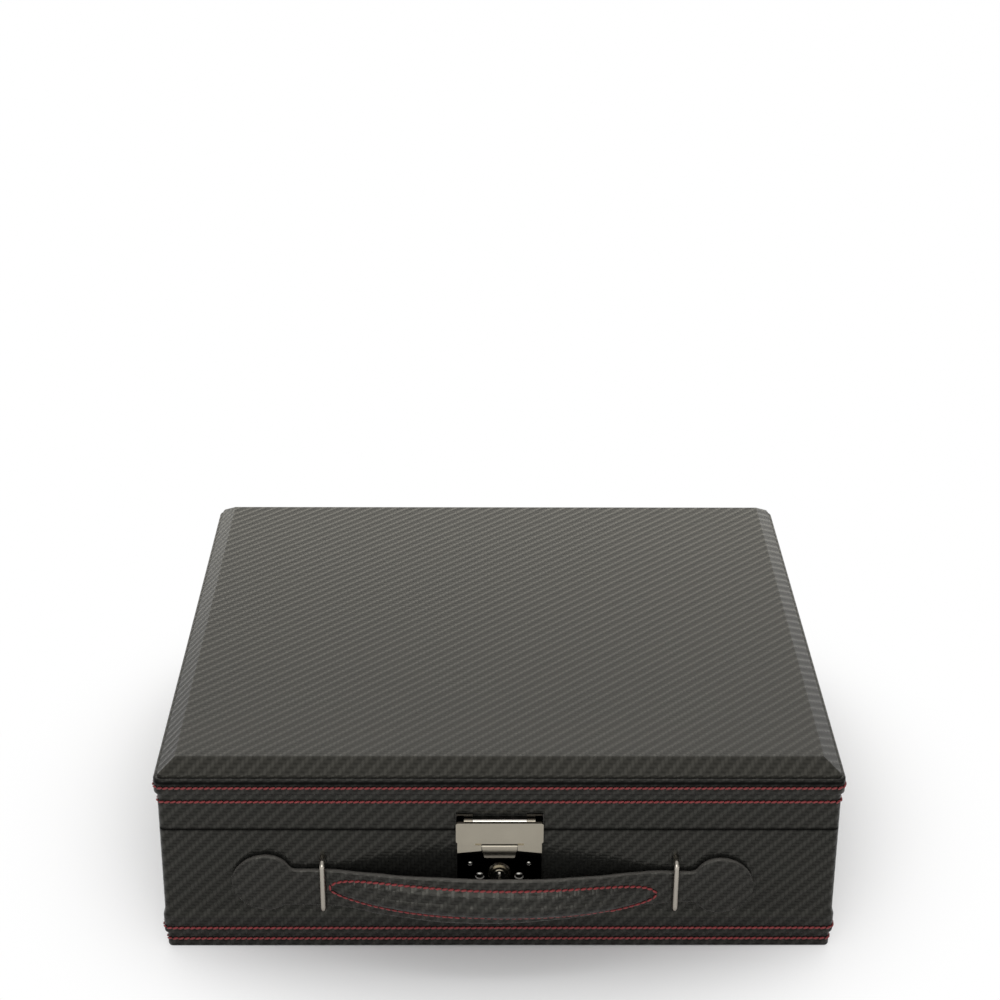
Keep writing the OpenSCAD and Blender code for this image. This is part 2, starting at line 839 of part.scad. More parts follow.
module hasp_flap() {
    lever_gap_w = lever_w / 2 + lever_side_gap;
    color("#cfcac0")
        difference() {
            union() {
                // main plate
                translate([0, flap_back_y, (flap_top_z + flap_mid_z) / 2])
                    rotate([90, 0, 0])
                        linear_extrude(flap_t)
                            rounded_rect(flap_w, flap_h, flap_corner_r);
                // thinner border whose lower edge rises towards the lever
                translate([0, flap_back_y, 0])
                    rotate([90, 0, 0])
                        linear_extrude(flap_t - border_step)
                            polygon([
                                [-border_w / 2, flap_low_z],
                                [-lever_w / 2, flap_low_z + border_rise],
                                [lever_w / 2, flap_low_z + border_rise],
                                [border_w / 2, flap_low_z],
                                [border_w / 2, flap_mid_z + flap_corner_r],
                                [-border_w / 2, flap_mid_z + flap_corner_r]
                            ]);
                // returned sides
                for (side = [-1, 1])
                    translate([
                        side * (border_w / 2 - flap_side_t / 2) - flap_side_t / 2,
                        flap_back_y - eps,
                        flap_low_z + 0.4
                    ])
                        cube([flap_side_t, plate_front_y - slip - flap_back_y, flap_h]);
                // ears for the lever's pin
                for (side = [-1, 1])
                    translate([
                        side * (lever_gap_w + ear_w / 2) - ear_w / 2,
                        lever_axis_y - lever_barrel_r,
                        lever_axis_z - ear_half_h
                    ])
                        cube([ear_w, flap_back_y - lever_axis_y + lever_barrel_r, 2 * ear_half_h]);
                // hinge barrels at both sides, rolled from the plate's top
                for (side = [-1, 1]) {
                    x0 = side < 0
                        ? -flap_barrel_w / 2 - slip - flap_side_barrel
                        : flap_barrel_w / 2 + slip;
                    rod_x(x0, flap_axis_y, flap_axis_z, flap_side_barrel, flap_barrel_r);
                    translate([x0, flap_back_y - eps, flap_axis_z - flap_barrel_r])
                        cube([
                            flap_side_barrel,
                            flap_axis_y - flap_back_y + eps,
                            flap_barrel_r
                        ]);
                }
            }
            // room for the lever
            translate([-lever_gap_w, flap_front_y - flap_t, flap_low_z - 1])
                cube([
                    2 * lever_gap_w,
                    flap_back_y - flap_front_y + flap_t + eps,
                    lever_room_z - flap_low_z + 1
                ]);
            rod_x(-flap_w, flap_axis_y, flap_axis_z, 2 * flap_w, flap_pin_r + run);
            rod_x(-lever_gap_w - ear_w + 0.6, lever_axis_y, lever_axis_z,
                2 * (lever_gap_w + ear_w - 0.6), lever_pin_r + seat);
            translate([-lug_w / 2 - seat, flap_back_y - lug_tenon, lever_room_z - eps])
                cube([lug_w + 2 * seat, lug_w, lug_top_z + seat - lever_room_z + eps]);
        }
}

module lever_pin() {
    pin_half = lever_w / 2 + lever_side_gap + ear_w - 0.6;
    color("gainsboro")
        rod_x(-pin_half, lever_axis_y, lever_axis_z, 2 * pin_half, lever_pin_r);
}

// Curved finger plate that hangs from its pin and narrows downwards
module lift_lever() {
    belly_r = lever_len * 2.1;
    color("#cfcac0")
        difference() {
            intersection() {
                union() {
                    rod_x(-lever_w / 2, lever_axis_y, lever_axis_z, lever_w, lever_barrel_r);
                    translate([0, lever_axis_y + belly_r - lever_barrel_r, lever_axis_z])
                        rotate([0, 90, 0])
                            difference() {
                                cylinder(h = lever_w, r = belly_r, center = true, $fn = 96);
                                cylinder(h = 2 * lever_w, r = belly_r - lever_plate_t,
                                    center = true, $fn = 96);
                                translate([-2 * belly_r, -2 * belly_r, -lever_w])
                                    cube([2 * belly_r, 4 * belly_r, 2 * lever_w]);
                                translate([0, -belly_r * 0.2, -lever_w])
                                    cube([2 * belly_r, 2 * belly_r, 2 * lever_w]);
                            }
                }
                translate([0, lever_axis_y + lever_len, 0])
                    rotate([90, 0, 0])
                        linear_extrude(2 * lever_len)
                            polygon([
                                [-lever_tip_w / 2, lever_axis_z - lever_len],
                                [lever_tip_w / 2, lever_axis_z - lever_len],
                                [lever_w / 2, lever_axis_z - lever_barrel_r],
                                [lever_w / 2, lever_axis_z + lever_barrel_r],
                                [-lever_w / 2, lever_axis_z + lever_barrel_r],
                                [-lever_w / 2, lever_axis_z - lever_barrel_r]
                            ]);
            }
            rod_x(-lever_w, lever_axis_y, lever_axis_z, 2 * lever_w, lever_pin_r + run);
        }
}

// ---------- lock ----------

module lock_plate() {
    plate_r = 2;
    color("#8f8b84")
        difference() {
            translate([0, front_y, (plate_low_z + plate_top_z) / 2])
                rotate([90, 0, 0])
                    linear_extrude(plate_t)
                        rounded_rect(plate_w, plate_top_z - plate_low_z, plate_r);
            translate([-lug_w / 2 - slip, plate_front_y - 1, flap_axis_z - lug_out_r - slip])
                cube([lug_w + 2 * slip, plate_t + 2, lug_out_r - lug_in_r + 3 * slip]);
            rod_y(0, plate_front_y - eps, key_z, 2 * plate_t, collar_barrel_r + seat);
            lock_screw_holes(lock_screw_r + seat);
        }
}

// Pressed box behind the plate; a ledge below and a ridge behind guide the bolt
module lock_case() {
    inside_half = case_half_w - case_wall;
    color("gainsboro")
        difference() {
            translate([-case_half_w, front_y, case_low_z])
                cube([2 * case_half_w, case_depth, case_top_z - case_low_z]);
            difference() {
                translate([-inside_half, front_y - eps, case_low_z + case_wall])
                    cube([
                        2 * inside_half,
                        case_depth - case_wall + eps,
                        case_top_z - case_low_z - 2 * case_wall
                    ]);
                translate([-case_half_w, bolt_y, case_low_z])
                    cube([2 * case_half_w, case_depth, bolt_low_z - slip - case_low_z]);
                translate([-case_half_w, case_back_y - case_wall - guide_t, key_z + crank_r + 5])
                    cube([2 * case_half_w, case_depth, 3]);
            }
            lock_screw_holes(lock_screw_r + seat);
        }
}

module key_collar() {
    color("gainsboro")
        difference() {
            union() {
                translate([0, plate_front_y - collar_step, key_z])
                    rotate([-90, 0, 0])
                        cylinder(h = collar_step, r1 = collar_r - collar_bevel, r2 = collar_r);
                rod_y(0, plate_front_y - collar_flange, key_z, collar_flange, collar_step_r);
                rod_y(0, plate_front_y - eps, key_z, collar_end_y - plate_front_y + eps,
                    collar_barrel_r);
            }
            rod_y(0, plate_front_y - collar_flange - 1, key_z, case_depth * 2, key_r + run);
        }
}

// Cylinder, cam disc and crank pin; the pin stands 45 degrees left of the top at rest
module key_cylinder() {
    keyway_w = 1.1;
    keyway_h = 4.2;
    face_y = plate_front_y - collar_flange - 0.4;
    color("#b9b4aa")
        difference() {
            union() {
                rod_y(0, face_y, key_z, cam_y - face_y + eps, key_r);
                rod_y(0, cam_y, key_z, cam_t, cam_r);
                rod_y(-crank_r * sin(45), cam_y, key_z + crank_r * cos(45),
                    cam_t + slip + bolt_t - 0.2, crank_pin_r);
            }
            translate([-keyway_w / 2, face_y - eps, key_z - keyway_h / 2])
                cube([keyway_w, cam_y - face_y - 0.5, keyway_h]);
        }
}

// Upright plate with the crank's slot below and a round nose above
module lock_bolt() {
    slot_x = -crank_r * sin(45);
    slot_low = key_z + crank_r * cos(45) - crank_pin_r - slip;
    slot_top = key_z + crank_r + crank_pin_r + slip;
    slot_half = crank_pin_r + crank_slot;
    color("#d8b878")
        difference() {
            union() {
                translate([bolt_arm_x - bolt_arm_w, bolt_y, bolt_low_z])
                    cube([
                        slot_x + slot_half + 2.5 - bolt_arm_x + bolt_arm_w,
                        bolt_t,
                        bolt_body_h
                    ]);
                translate([bolt_arm_x - bolt_arm_w, bolt_y, bolt_low_z])
                    cube([bolt_arm_w, bolt_t, lug_top_z - bolt_low_z]);
                rod_x(bolt_arm_x - eps, bolt_mid_y, bolt_nose_z, bolt_tip_x - bolt_arm_x + eps,
                    bolt_r);
            }
            translate([slot_x - slot_half, bolt_y - 1, slot_low])
                cube([2 * slot_half, bolt_t + 2, slot_top - slot_low]);
        }
}

module lock_screw(x, z, head) {
    dome_r = arc_r(head[0], head[1]);
    rod_y(x, plate_front_y - eps, z, lock_screw_len + eps, lock_screw_r);
    intersection() {
        translate([x, plate_front_y + dome_r - head[1], z]) sphere(dome_r);
        rod_y(x, plate_front_y - head[1], z, head[1], head[0]);
    }
}

module lock_screws() {
    color("gainsboro")
        for (side = [-1, 1]) {
            lock_screw(side * lock_screw_low[0], lock_screw_low[1], lock_screw_big);
            lock_screw(side * lock_screw_high[0], lock_screw_high[1], lock_screw_small);
        }
}

// ---------- handle ----------

// Staple of round rod: an upright bar in front of the strap and two legs into the wall
module handle_loop(side) {
    color("#cfcac0")
        translate([side * loop_x, front_y - loop_out, loop_z]) {
            translate([0, 0, loop_bend_r - loop_leg_z])
                cylinder(h = 2 * (loop_leg_z - loop_bend_r), r = rod_r);
            for (up = [0, 1])
                mirror([0, 0, up]) {
                    translate([0, loop_bend_r, loop_leg_z - loop_bend_r])
                        rotate([0, -90, 180])
                            rotate_extrude(angle = 90)
                                translate([loop_bend_r, 0])
                                    circle(rod_r);
                    rod_y(0, loop_bend_r, loop_leg_z,
                        loop_end_y - front_y + loop_out - loop_bend_r, rod_r);
                }
        }
}

// Outline of a strap end about the leaf's middle, with its neck towards +X; the leaf sits
// higher than the neck, and its point higher or lower than its own middle
module leaf_outline(neck_len, rise, tip_up) {
    half = leaf_h / 2;
    upper_r = arc_r(leaf_tip, half - tip_up);
    lower_r = arc_r(leaf_tip, half + tip_up);
    inner_z = half - leaf_inner_r;
    touch = leaf_inner_r / (leaf_inner_r + leaf_fillet_r);
    // outer side: two arcs that meet in a blunt point
    intersection() {
        translate([0, half - upper_r]) circle(upper_r);
        translate([-leaf_h, tip_up]) square(leaf_h);
    }
    intersection() {
        translate([0, lower_r - half]) circle(lower_r);
        translate([-leaf_h, tip_up - leaf_h]) square(leaf_h);
    }
    // inner side, filleted into the neck
    for (up = [-1, 1]) {
        neck = strap_h / 2 - up * rise;
        fillet_z = neck + leaf_fillet_r;
        fillet_x = sqrt(pow(leaf_inner_r + leaf_fillet_r, 2) - pow(fillet_z - inner_z, 2));
        scale_y(up) {
            intersection() {
                translate([0, inner_z]) circle(leaf_inner_r);
                square(leaf_h);
            }
            difference() {
                polygon([
                    [0, 0],
                    [fillet_x, 0],
                    [fillet_x, neck],
                    [fillet_x * touch, inner_z + (fillet_z - inner_z) * touch]
                ]);
                translate([fillet_x, fillet_z]) circle(leaf_fillet_r);
            }
            square([neck_len, neck]);
        }
    }
}

module scale_y(up) {
    if (up < 0)
        mirror([0, 1]) children();
    else
        children();
}

// Strap end with its neck towards +X, in the handle's own place
module tab_shape(end) {
    neck_len = (leaf_pitch - grip_len) / 2 + strap_t;
    difference() {
        translate([-leaf_pitch / 2, strap_back_y, strap_z + leaf_up[end]])
            rotate([90, 0, 0])
                linear_extrude(strap_t)
                    leaf_outline(neck_len, leaf_up[end], leaf_tip_up[end]);
        translate([-grip_half, strap_back_y, 0])
            rotate(-scarf_angle)
                translate([scarf_gap / 2, -grip_half, 0])
                    cube([grip_half, 2 * grip_half, 2 * loop_z]);
    }
}

// Turns a section about the bow's own centre, from one end of the grip to the other
module bowed() {
    translate([0, bow_y, strap_z])
        rotate(-90 - bow_angle - 1)
            rotate_extrude(angle = 2 * bow_angle + 2, $fn = 180)
                translate([bow_r, 0])
                    children();
}

// Lens-shaped plan of the padding, thickest at its middle
module pad_plan() {
    front_rise = pad_end_y - strap_t / 4 - pad_mid_y + pad_front;
    back_rise = pad_end_y + strap_t / 4 - pad_mid_y - pad_back;
    front_r = arc_r(pad_half, front_rise);
    back_r = arc_r(pad_half, back_rise);
    difference() {
        translate([0, pad_mid_y - pad_front + front_r]) circle(front_r, $fn = 360);
        translate([0, pad_mid_y + pad_back + back_r]) circle(back_r, $fn = 360);
    }
}

// Wide cylinder whose upper or lower side gives the strap's edge its slow arc
module grip_edge(r, up) {
    rod_y(0, -case_d, strap_z + up * (grip_h / 2 - r), case_d, r, $fn = 720);
}

module handle_grip() {
    scarf_len = 2 * grip_half;
    edge_r = arc_r(grip_half, (grip_h - strap_h) / 2);
    pad_front_r = arc_r(pad_half_h, pad_front);
    pad_back_r = arc_r(pad_half_h, pad_back);
    color("#33322f")
        translate([handle_shift, 0, 0])
            difference() {
                union() {
                    intersection() {
                        bowed()
                            square([strap_t, grip_h], center = true);
                        grip_edge(edge_r, 1);
                        grip_edge(edge_r, -1);
                    }
                    intersection() {
                        bowed()
                            intersection() {
                                translate([pad_front - pad_front_r, 0]) circle(pad_front_r);
                                translate([pad_back_r - pad_back, 0]) circle(pad_back_r);
                            }
                        linear_extrude(2 * loop_z)
                            intersection() {
                                pad_plan();
                                translate([-grip_half, pad_mid_y - 2 * pad_front])
                                    square([2 * grip_half, 4 * grip_bow]);
                            }
                    }
                }
                // ends cut along the scarf planes
                for (side = [0, 1])
                    mirror([side, 0, 0])
                        translate([-grip_half, strap_back_y, 0])
                            rotate(-scarf_angle)
                                translate([scarf_gap / 2 - grip_half, -scarf_len, 0])
                                    cube([grip_half, 2 * scarf_len, 2 * loop_z]);
            }
}

module handle_tab(side) {
    color("#33322f")
        translate([handle_shift, 0, 0])
            mirror([side > 0 ? 1 : 0, 0, 0])
                tab_shape(side > 0 ? 1 : 0);
}

// ---------- assembly ----------

base_frame();
base_floor();
base_cover();
foot_band();
plinth_cover();
base_lining();
long_divider(front_divider_y);  // divider_long_front
long_divider(back_divider_y);  // divider_long_back
short_divider(1);  // divider_short_1
short_divider(2);  // divider_short_2
short_divider(3);  // divider_short_3
short_divider(4);  // divider_short_4
short_divider(5);  // divider_short_5
pillow(1, back_row_y);  // pillow_back_1
pillow(2, back_row_y);  // pillow_back_2
pillow(3, back_row_y);  // pillow_back_3
pillow(4, back_row_y);  // pillow_back_4
pillow(5, back_row_y);  // pillow_back_5
pillow(6, back_row_y);  // pillow_back_6
pillow(1, middle_row_y);  // pillow_middle_1
pillow(2, middle_row_y);  // pillow_middle_2
pillow(3, middle_row_y);  // pillow_middle_3
pillow(4, middle_row_y);  // pillow_middle_4
pillow(5, middle_row_y);  // pillow_middle_5
pillow(6, middle_row_y);  // pillow_middle_6
translate([-hinge_x, 0, 0]) hinge_base_leaf();  // hinge_base_leaf_left
translate([hinge_x, 0, 0]) hinge_base_leaf();  // hinge_base_leaf_right
translate([-hinge_x, 0, 0]) hinge_pin();  // hinge_pin_left
translate([hinge_x, 0, 0]) hinge_pin();  // hinge_pin_right
hinge_screws(rim_z, true);  // hinge_base_screws
lock_plate();
lock_case();
key_collar();
lock_screws();
handle_loop(-1);  // handle_loop_left
handle_loop(1);  // handle_loop_right
lid_frame();
lid_top_board();
lid_top_skin();
lid_cover();
lid_lip();
lid_lining();
lid_pad();
translate([-hinge_x, 0, 0]) hinge_lid_leaf();  // hinge_lid_leaf_left
translate([hinge_x, 0, 0]) hinge_lid_leaf();  // hinge_lid_leaf_right
hinge_screws(lid_z, false);  // hinge_lid_screws
hasp_plate();
hasp_rivets();
hasp_pin();
hasp_flap();
hasp_lug();
lever_pin();
lift_lever();
key_cylinder();
lock_bolt();
handle_grip();
handle_tab(-1);  // handle_tab_left
handle_tab(1);  // handle_tab_right
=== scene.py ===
# %% [markdown]
# # A watch box in woven-look leatherette
#
# The real object is a wooden case covered in black leatherette that is embossed like a carbon
# weave, with red saddle stitching round its rims, a nickel hasp with a key lock and a loose
# strap handle. The rigid parts already exist as an exact model, so this lesson only dresses
# them: it gives every surface its finish, and it makes the soft and sewn pieces that a rigid
# model can't hold, which are the stitches, the padded handle, the cushions and the lid's pad.

# %% Load the rigid parts
import json
import math

import bmesh
import bpy
from mathutils import Matrix, Vector, noise


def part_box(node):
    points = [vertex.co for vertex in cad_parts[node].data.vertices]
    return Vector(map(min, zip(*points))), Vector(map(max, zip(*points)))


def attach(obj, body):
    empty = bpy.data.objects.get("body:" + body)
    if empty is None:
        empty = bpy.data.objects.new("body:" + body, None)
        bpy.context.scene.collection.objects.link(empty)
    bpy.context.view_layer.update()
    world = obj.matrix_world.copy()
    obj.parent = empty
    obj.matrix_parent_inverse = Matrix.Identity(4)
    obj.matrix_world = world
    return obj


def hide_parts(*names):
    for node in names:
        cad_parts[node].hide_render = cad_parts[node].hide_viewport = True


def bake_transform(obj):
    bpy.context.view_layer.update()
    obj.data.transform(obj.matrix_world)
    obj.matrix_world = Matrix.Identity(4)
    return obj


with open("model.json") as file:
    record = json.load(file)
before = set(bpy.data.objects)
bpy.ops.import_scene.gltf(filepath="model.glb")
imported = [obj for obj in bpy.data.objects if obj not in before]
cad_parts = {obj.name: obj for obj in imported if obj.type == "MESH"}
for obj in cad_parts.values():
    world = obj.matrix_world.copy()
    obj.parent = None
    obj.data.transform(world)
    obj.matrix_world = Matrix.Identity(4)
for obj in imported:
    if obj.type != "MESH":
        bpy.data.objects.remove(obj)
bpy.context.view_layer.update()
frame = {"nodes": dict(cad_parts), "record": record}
parts = frame["nodes"]
MM = 0.001
print("parts loaded:", len(parts))

# %% [markdown]
# ## Reading places from the parts
#
# A new piece has to sit exactly on the part that carries it. The places could be typed in again,
# but they would go stale when a part changes. So the half widths and half depths, and the level
# where the lid meets the base, are read from the parts' own boxes. Only the levels of the stitch
# rows are typed in, because nothing on the parts marks them.

# %% Measure the case
base_high, lid_high, lip_high, band_high, plinth_high = (
    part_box(name)[1] for name in ("base_cover", "lid_cover", "lid_lip", "foot_band", "plinth_cover")
)
PARTING = (base_high.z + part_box("lid_cover")[0].z) / 2
LIP_SEAM, WALL_SEAM, BAND_SEAM, PLINTH_SEAM = 0.0956, 0.0868, 0.0126, 0.0052
print("case is", round(base_high.x * 2 / MM, 1), "by", round(base_high.y * 2 / MM, 1), "mm")

# %% [markdown]
# ## Small helpers
#
# A lamp, a camera or a mesh is data, and an object shows it, so one helper makes the pair. The
# others are for node trees. A pattern is a chain of sums, and writing each node out in full
# hides the idea. Each helper adds one kind of node, links or sets what it is given, and hands
# back the result: a sum, a point taken apart, one range turned into another, a mix, a bump.

# %% Define the helpers
NUMBER, POINT = "NodeSocketFloat", "NodeSocketVector"


def add_object(name, data):
    obj = bpy.data.objects.new(name, data)
    bpy.context.scene.collection.objects.link(obj)
    return obj


def feed(tree, socket, value):
    """Links a socket to another one, or sets its value."""
    if isinstance(value, bpy.types.NodeSocket):
        tree.links.new(value, socket)
    else:
        socket.default_value = value


def set_inputs(tree, node, **values):
    """Feeds a node's inputs by name, with _ in place of each space."""
    for label, value in values.items():
        feed(tree, node.inputs[label.replace("_", " ")], value)


def add_node(tree, kind, **values):
    node = tree.nodes.new("ShaderNode" + kind)
    set_inputs(tree, node, **values)
    return node


def calc(tree, operation, *values):
    node = add_node(tree, "Math")
    node.operation = operation
    for socket, value in zip(node.inputs, values):
        feed(tree, socket, value)
    return node.outputs[0]


def add_up(tree, total, *terms):
    """Adds each value, times its weight, to a total."""
    for value, weight in terms:
        total = calc(tree, "MULTIPLY_ADD", value, weight, total)
    return total


def split(tree, point):
    return add_node(tree, "SeparateXYZ", Vector=point).outputs


def ramp(tree, value, start, end, low=0.0, high=1.0, kind="LINEAR"):
    node = add_node(
        tree, "MapRange", Value=value, From_Min=start, From_Max=end, To_Min=low, To_Max=high
    )
    node.interpolation_type = kind
    return node.outputs["Result"]


def mix_value(tree, factor, when_no, when_yes):
    node = add_node(tree, "Mix")
    node.data_type = "FLOAT"
    for index, value in ((0, factor), (2, when_no), (3, when_yes)):
        feed(tree, node.inputs[index], value)
    return node.outputs[0]


def mix_colour(tree, factor, first, second):
    node = add_node(tree, "Mix")
    node.data_type = "RGBA"
    for index, value in ((0, factor), (6, first), (7, second)):
        feed(tree, node.inputs[index], value)
    return node.outputs[2]


def mix_shader(tree, factor, first, second):
    node = add_node(tree, "MixShader")
    for socket, value in zip(node.inputs, (factor, first, second)):
        tree.links.new(value, socket)
    return node.outputs[0]


def bump(tree, shader, height, depth):
    node = add_node(tree, "Bump", Height=height, Distance=depth)
    tree.links.new(node.outputs["Normal"], shader.inputs["Normal"])


def object_point(tree):
    return add_node(tree, "TexCoord").outputs["Object"]


def start_material(name):
    material = bpy.data.materials.new(name)
    material.use_nodes = True
    return material, material.node_tree, material.node_tree.nodes["Principled BSDF"]


def shade(colour, factor):
    return (*[c * factor for c in colour], 1)


print("helpers ready")

# %% [markdown]
# ## The camera
#
# A product picture of a flat box is taken from in front and a little above, from far enough
# away that the sides barely narrow. A long lens does that: here 78 mm on a 36 mm sensor, a
# little over a metre away and tipped down by 24.6 degrees. The turn is built up from three
# simple turns, which is easier to read than one list of angles.

# %% Place the camera
LENS, SENSOR = 78.18, 36
STAND = (-0.0101, -1.0635, 0.6671)
PAN, TIP, ROLL = (math.radians(degrees) for degrees in (-0.592, 90 - 24.640, 0.322))

camera = add_object("camera", bpy.data.cameras.new("camera"))
camera.data.lens = LENS
camera.data.sensor_width = SENSOR
camera.matrix_world = (
    Matrix.Translation(STAND)
    @ Matrix.Rotation(PAN, 4, "Z")
    @ Matrix.Rotation(TIP, 4, "X")
    @ Matrix.Rotation(ROLL, 4, "Z")
)
bpy.context.scene.camera = camera
bpy.context.scene.view_settings.view_transform = "Standard"
print("camera stands", round(camera.matrix_world.translation.length, 3), "m from the case")

# %% [markdown]
# ## The lamps
#
# A black object needs large soft lights, because what we see on it is mostly their reflection.
# One wide lamp above and behind lights the top, a second one in front lights the wall, and a
# low, warm one far behind draws a soft line along the upper edges. The camera doesn't see them.

# %% Hang the lamps
def lamp(name, place, aim, width, height, watts, colour=(1, 1, 1)):
    light = bpy.data.lights.new(name, "AREA")
    light.shape = "RECTANGLE"
    light.size = width
    light.size_y = height
    light.energy = watts
    light.color = colour
    obj = add_object(name, light)
    obj.visible_camera = False
    obj.location = place
    obj.rotation_euler = (Vector(aim) - Vector(place)).to_track_quat("-Z", "Y").to_euler()


lamp("top_light", (0.0, 0.55, 1.5), (0, 0.0, 0.1), 1.8, 1.2, 7)
lamp("front_light", (-0.2, -1.7, 0.75), (0, 0, 0.05), 1.8, 1.0, 10)
lamp("back_light", (0.0, 2.0, 0.55), (0, 0, 0.1), 2.6, 0.7, 5.5, (1.0, 0.94, 0.76))
print("lamps hung")

# %% [markdown]
# ## The floor
#
# The floor is matt white paper that throws some light back up. Close to the case it shows the
# soft shadow. Farther out the camera sees it fade into plain white, so that no horizon shows,
# while every other ray still meets paper.

# %% Lay the floor
FLOOR_RADIUS = 6
FADE_START, FADE_END = 0.15, 0.30

mesh = bpy.data.meshes.new("floor")
shape = bmesh.new()
bmesh.ops.create_circle(shape, cap_ends=True, radius=FLOOR_RADIUS, segments=96)
shape.to_mesh(mesh)
shape.free()
floor = add_object("floor", mesh)

paper, tree, sheet = start_material("paper_floor")
set_inputs(tree, sheet, Base_Color=(0.97, 0.97, 0.97, 1), Roughness=0.8)
distance = tree.nodes.new("ShaderNodeVectorMath")
distance.operation = "LENGTH"
tree.links.new(object_point(tree), distance.inputs[0])
far = ramp(tree, distance.outputs["Value"], FADE_START, FADE_END, kind="SMOOTHERSTEP")
far_and_seen = calc(tree, "MULTIPLY", far, add_node(tree, "LightPath").outputs["Is Camera Ray"])
white = add_node(tree, "Emission", Strength=1.0)
surface = mix_shader(tree, far_and_seen, sheet.outputs[0], white.outputs[0])
tree.links.new(surface, tree.nodes["Material Output"].inputs["Surface"])
floor.data.materials.append(paper)
print("floor laid")

# %% [markdown]
# ## The room
#
# What the camera sees past the floor is plain white. What the case reflects is a dimmer room,
# darker at both sides than in front and behind, which keeps the side walls and bevels dark.

# %% Paint the room
SIDE_START, SIDE_END = 0.35, 0.95
ROOM_LIGHT, SIDE_LIGHT = 0.78, 0.30

world = bpy.data.worlds.new("studio")
bpy.context.scene.world = world
world.use_nodes = True
sky = world.node_tree
sky.nodes.clear()
sideways = calc(sky, "ABSOLUTE", split(sky, add_node(sky, "TexCoord").outputs["Generated"])[0])
dimmed = ramp(sky, sideways, SIDE_START, SIDE_END, ROOM_LIGHT, SIDE_LIGHT, kind="SMOOTHSTEP")
room = add_node(sky, "Background", Color=(1, 1, 1, 1), Strength=dimmed)
white = add_node(sky, "Background", Color=(1, 1, 1, 1), Strength=1.0)
rays = add_node(sky, "LightPath").outputs
direct = calc(sky, "MAXIMUM", rays["Is Camera Ray"], rays["Is Transmission Ray"])
backdrop = mix_shader(sky, direct, room.outputs[0], white.outputs[0])
sky.links.new(backdrop, add_node(sky, "OutputWorld").inputs[0])
print("room painted")

# %% [markdown]
# ## Node groups
#
# An effect that several materials share is built once, as a group with named sockets, and placed
# in each of them with its own values. One helper starts a group and one places it.

# %% Define the group helpers
def new_group(name, inputs, outputs):
    group = bpy.data.node_groups.new(name, "ShaderNodeTree")
    for label, kind, value in inputs:
        socket = group.interface.new_socket(label, in_out="INPUT", socket_type=kind)
        if value is not None:
            socket.default_value = value
    for label, kind in outputs:
        group.interface.new_socket(label, in_out="OUTPUT", socket_type=kind)
    given, result = group.nodes.new("NodeGroupInput"), group.nodes.new("NodeGroupOutput")
    return group, given.outputs, result.inputs


def place_group(tree, group, **values):
    node = tree.nodes.new("ShaderNodeGroup")
    node.node_tree = group
    set_inputs(tree, node, **values)
    return node.outputs


print("group helpers ready")

# %% [markdown]
# ## Finding the flat place on a wall
#
# A woven pattern lies in the surface. A UV map would do, but these walls all face straight
# along an axis, so the two coordinates that run along the surface can be picked by looking at
# which way it faces. The group takes the object's own coordinates, so the pattern stays put
# when the lid opens.

# %% Group: wall place
LEVEL_FROM = 0.42

wall_place, given, result = new_group(
    "wall place", [("Point", POINT, None), ("Facing", POINT, None)], [("Place", POINT)]
)
tree = wall_place
x, y, z = split(tree, given["Point"])
size_x, size_y, size_z = (calc(tree, "ABSOLUTE", part) for part in split(tree, given["Facing"]))
is_top = calc(tree, "GREATER_THAN", size_z, LEVEL_FROM)
is_side = calc(tree, "GREATER_THAN", size_x, size_y)
across = mix_value(tree, is_top, mix_value(tree, is_side, x, y), x)
along = mix_value(tree, is_top, z, y)
joined = add_node(tree, "CombineXYZ", X=across, Y=along)
tree.links.new(joined.outputs[0], result["Place"])
print("group made:", tree.name)

# %% [markdown]
# ## The carbon weave emboss
#
# The leatherette is pressed to look like a carbon weave: flat ribbons that cross over two and
# under two, each step moved on by one, which draws diagonal lines. A picture would do it, but a
# few sums do it at any size. The surface is cut into squares of one ribbon width. The column
# number less the row number, counted round in fours, says which ribbon is on top. Each ribbon is
# rounded across its width and dives at both ends of its float.
#
# From farther off only the diagonals are seen. So the group also gives them alone, as a soft
# wave that runs across them and repeats every four squares. That is the Band.

# %% Group: carbon weave
RIBBON = 1.84 * MM
FLAT_CROWN, DIVE = 2.6, 0.7

carbon_weave, given, result = new_group(
    "carbon weave",
    [("Place", POINT, None), ("Ribbon", NUMBER, RIBBON)],
    [("Height", NUMBER), ("Upright", NUMBER), ("Band", NUMBER)],
)
tree = carbon_weave
across, along, _ = split(tree, given["Place"])
column = calc(tree, "DIVIDE", across, given["Ribbon"])
row = calc(tree, "DIVIDE", along, given["Ribbon"])
column_part = calc(tree, "FRACT", column)
row_part = calc(tree, "FRACT", row)
step = calc(tree, "SUBTRACT", calc(tree, "FLOOR", column), calc(tree, "FLOOR", row))
turn = calc(tree, "FLOORED_MODULO", step, 4.0)
upright = calc(tree, "LESS_THAN", turn, 1.5)


def ribbon(across_part, float_part):
    """Height of one ribbon from its place across the width and along the float, 0 to 1."""
    side = calc(tree, "ABSOLUTE", calc(tree, "MULTIPLY_ADD", across_part, 2.0, -1.0))
    round_over = calc(tree, "SUBTRACT", 1.0, calc(tree, "POWER", side, FLAT_CROWN))
    reach = calc(tree, "ABSOLUTE", calc(tree, "MULTIPLY_ADD", float_part, 2.0, -1.0))
    dive = calc(tree, "SUBTRACT", 1.0, calc(tree, "POWER", reach, 2.0))
    return calc(tree, "MULTIPLY", round_over, add_up(tree, 1.0 - DIVE, (dive, DIVE)))


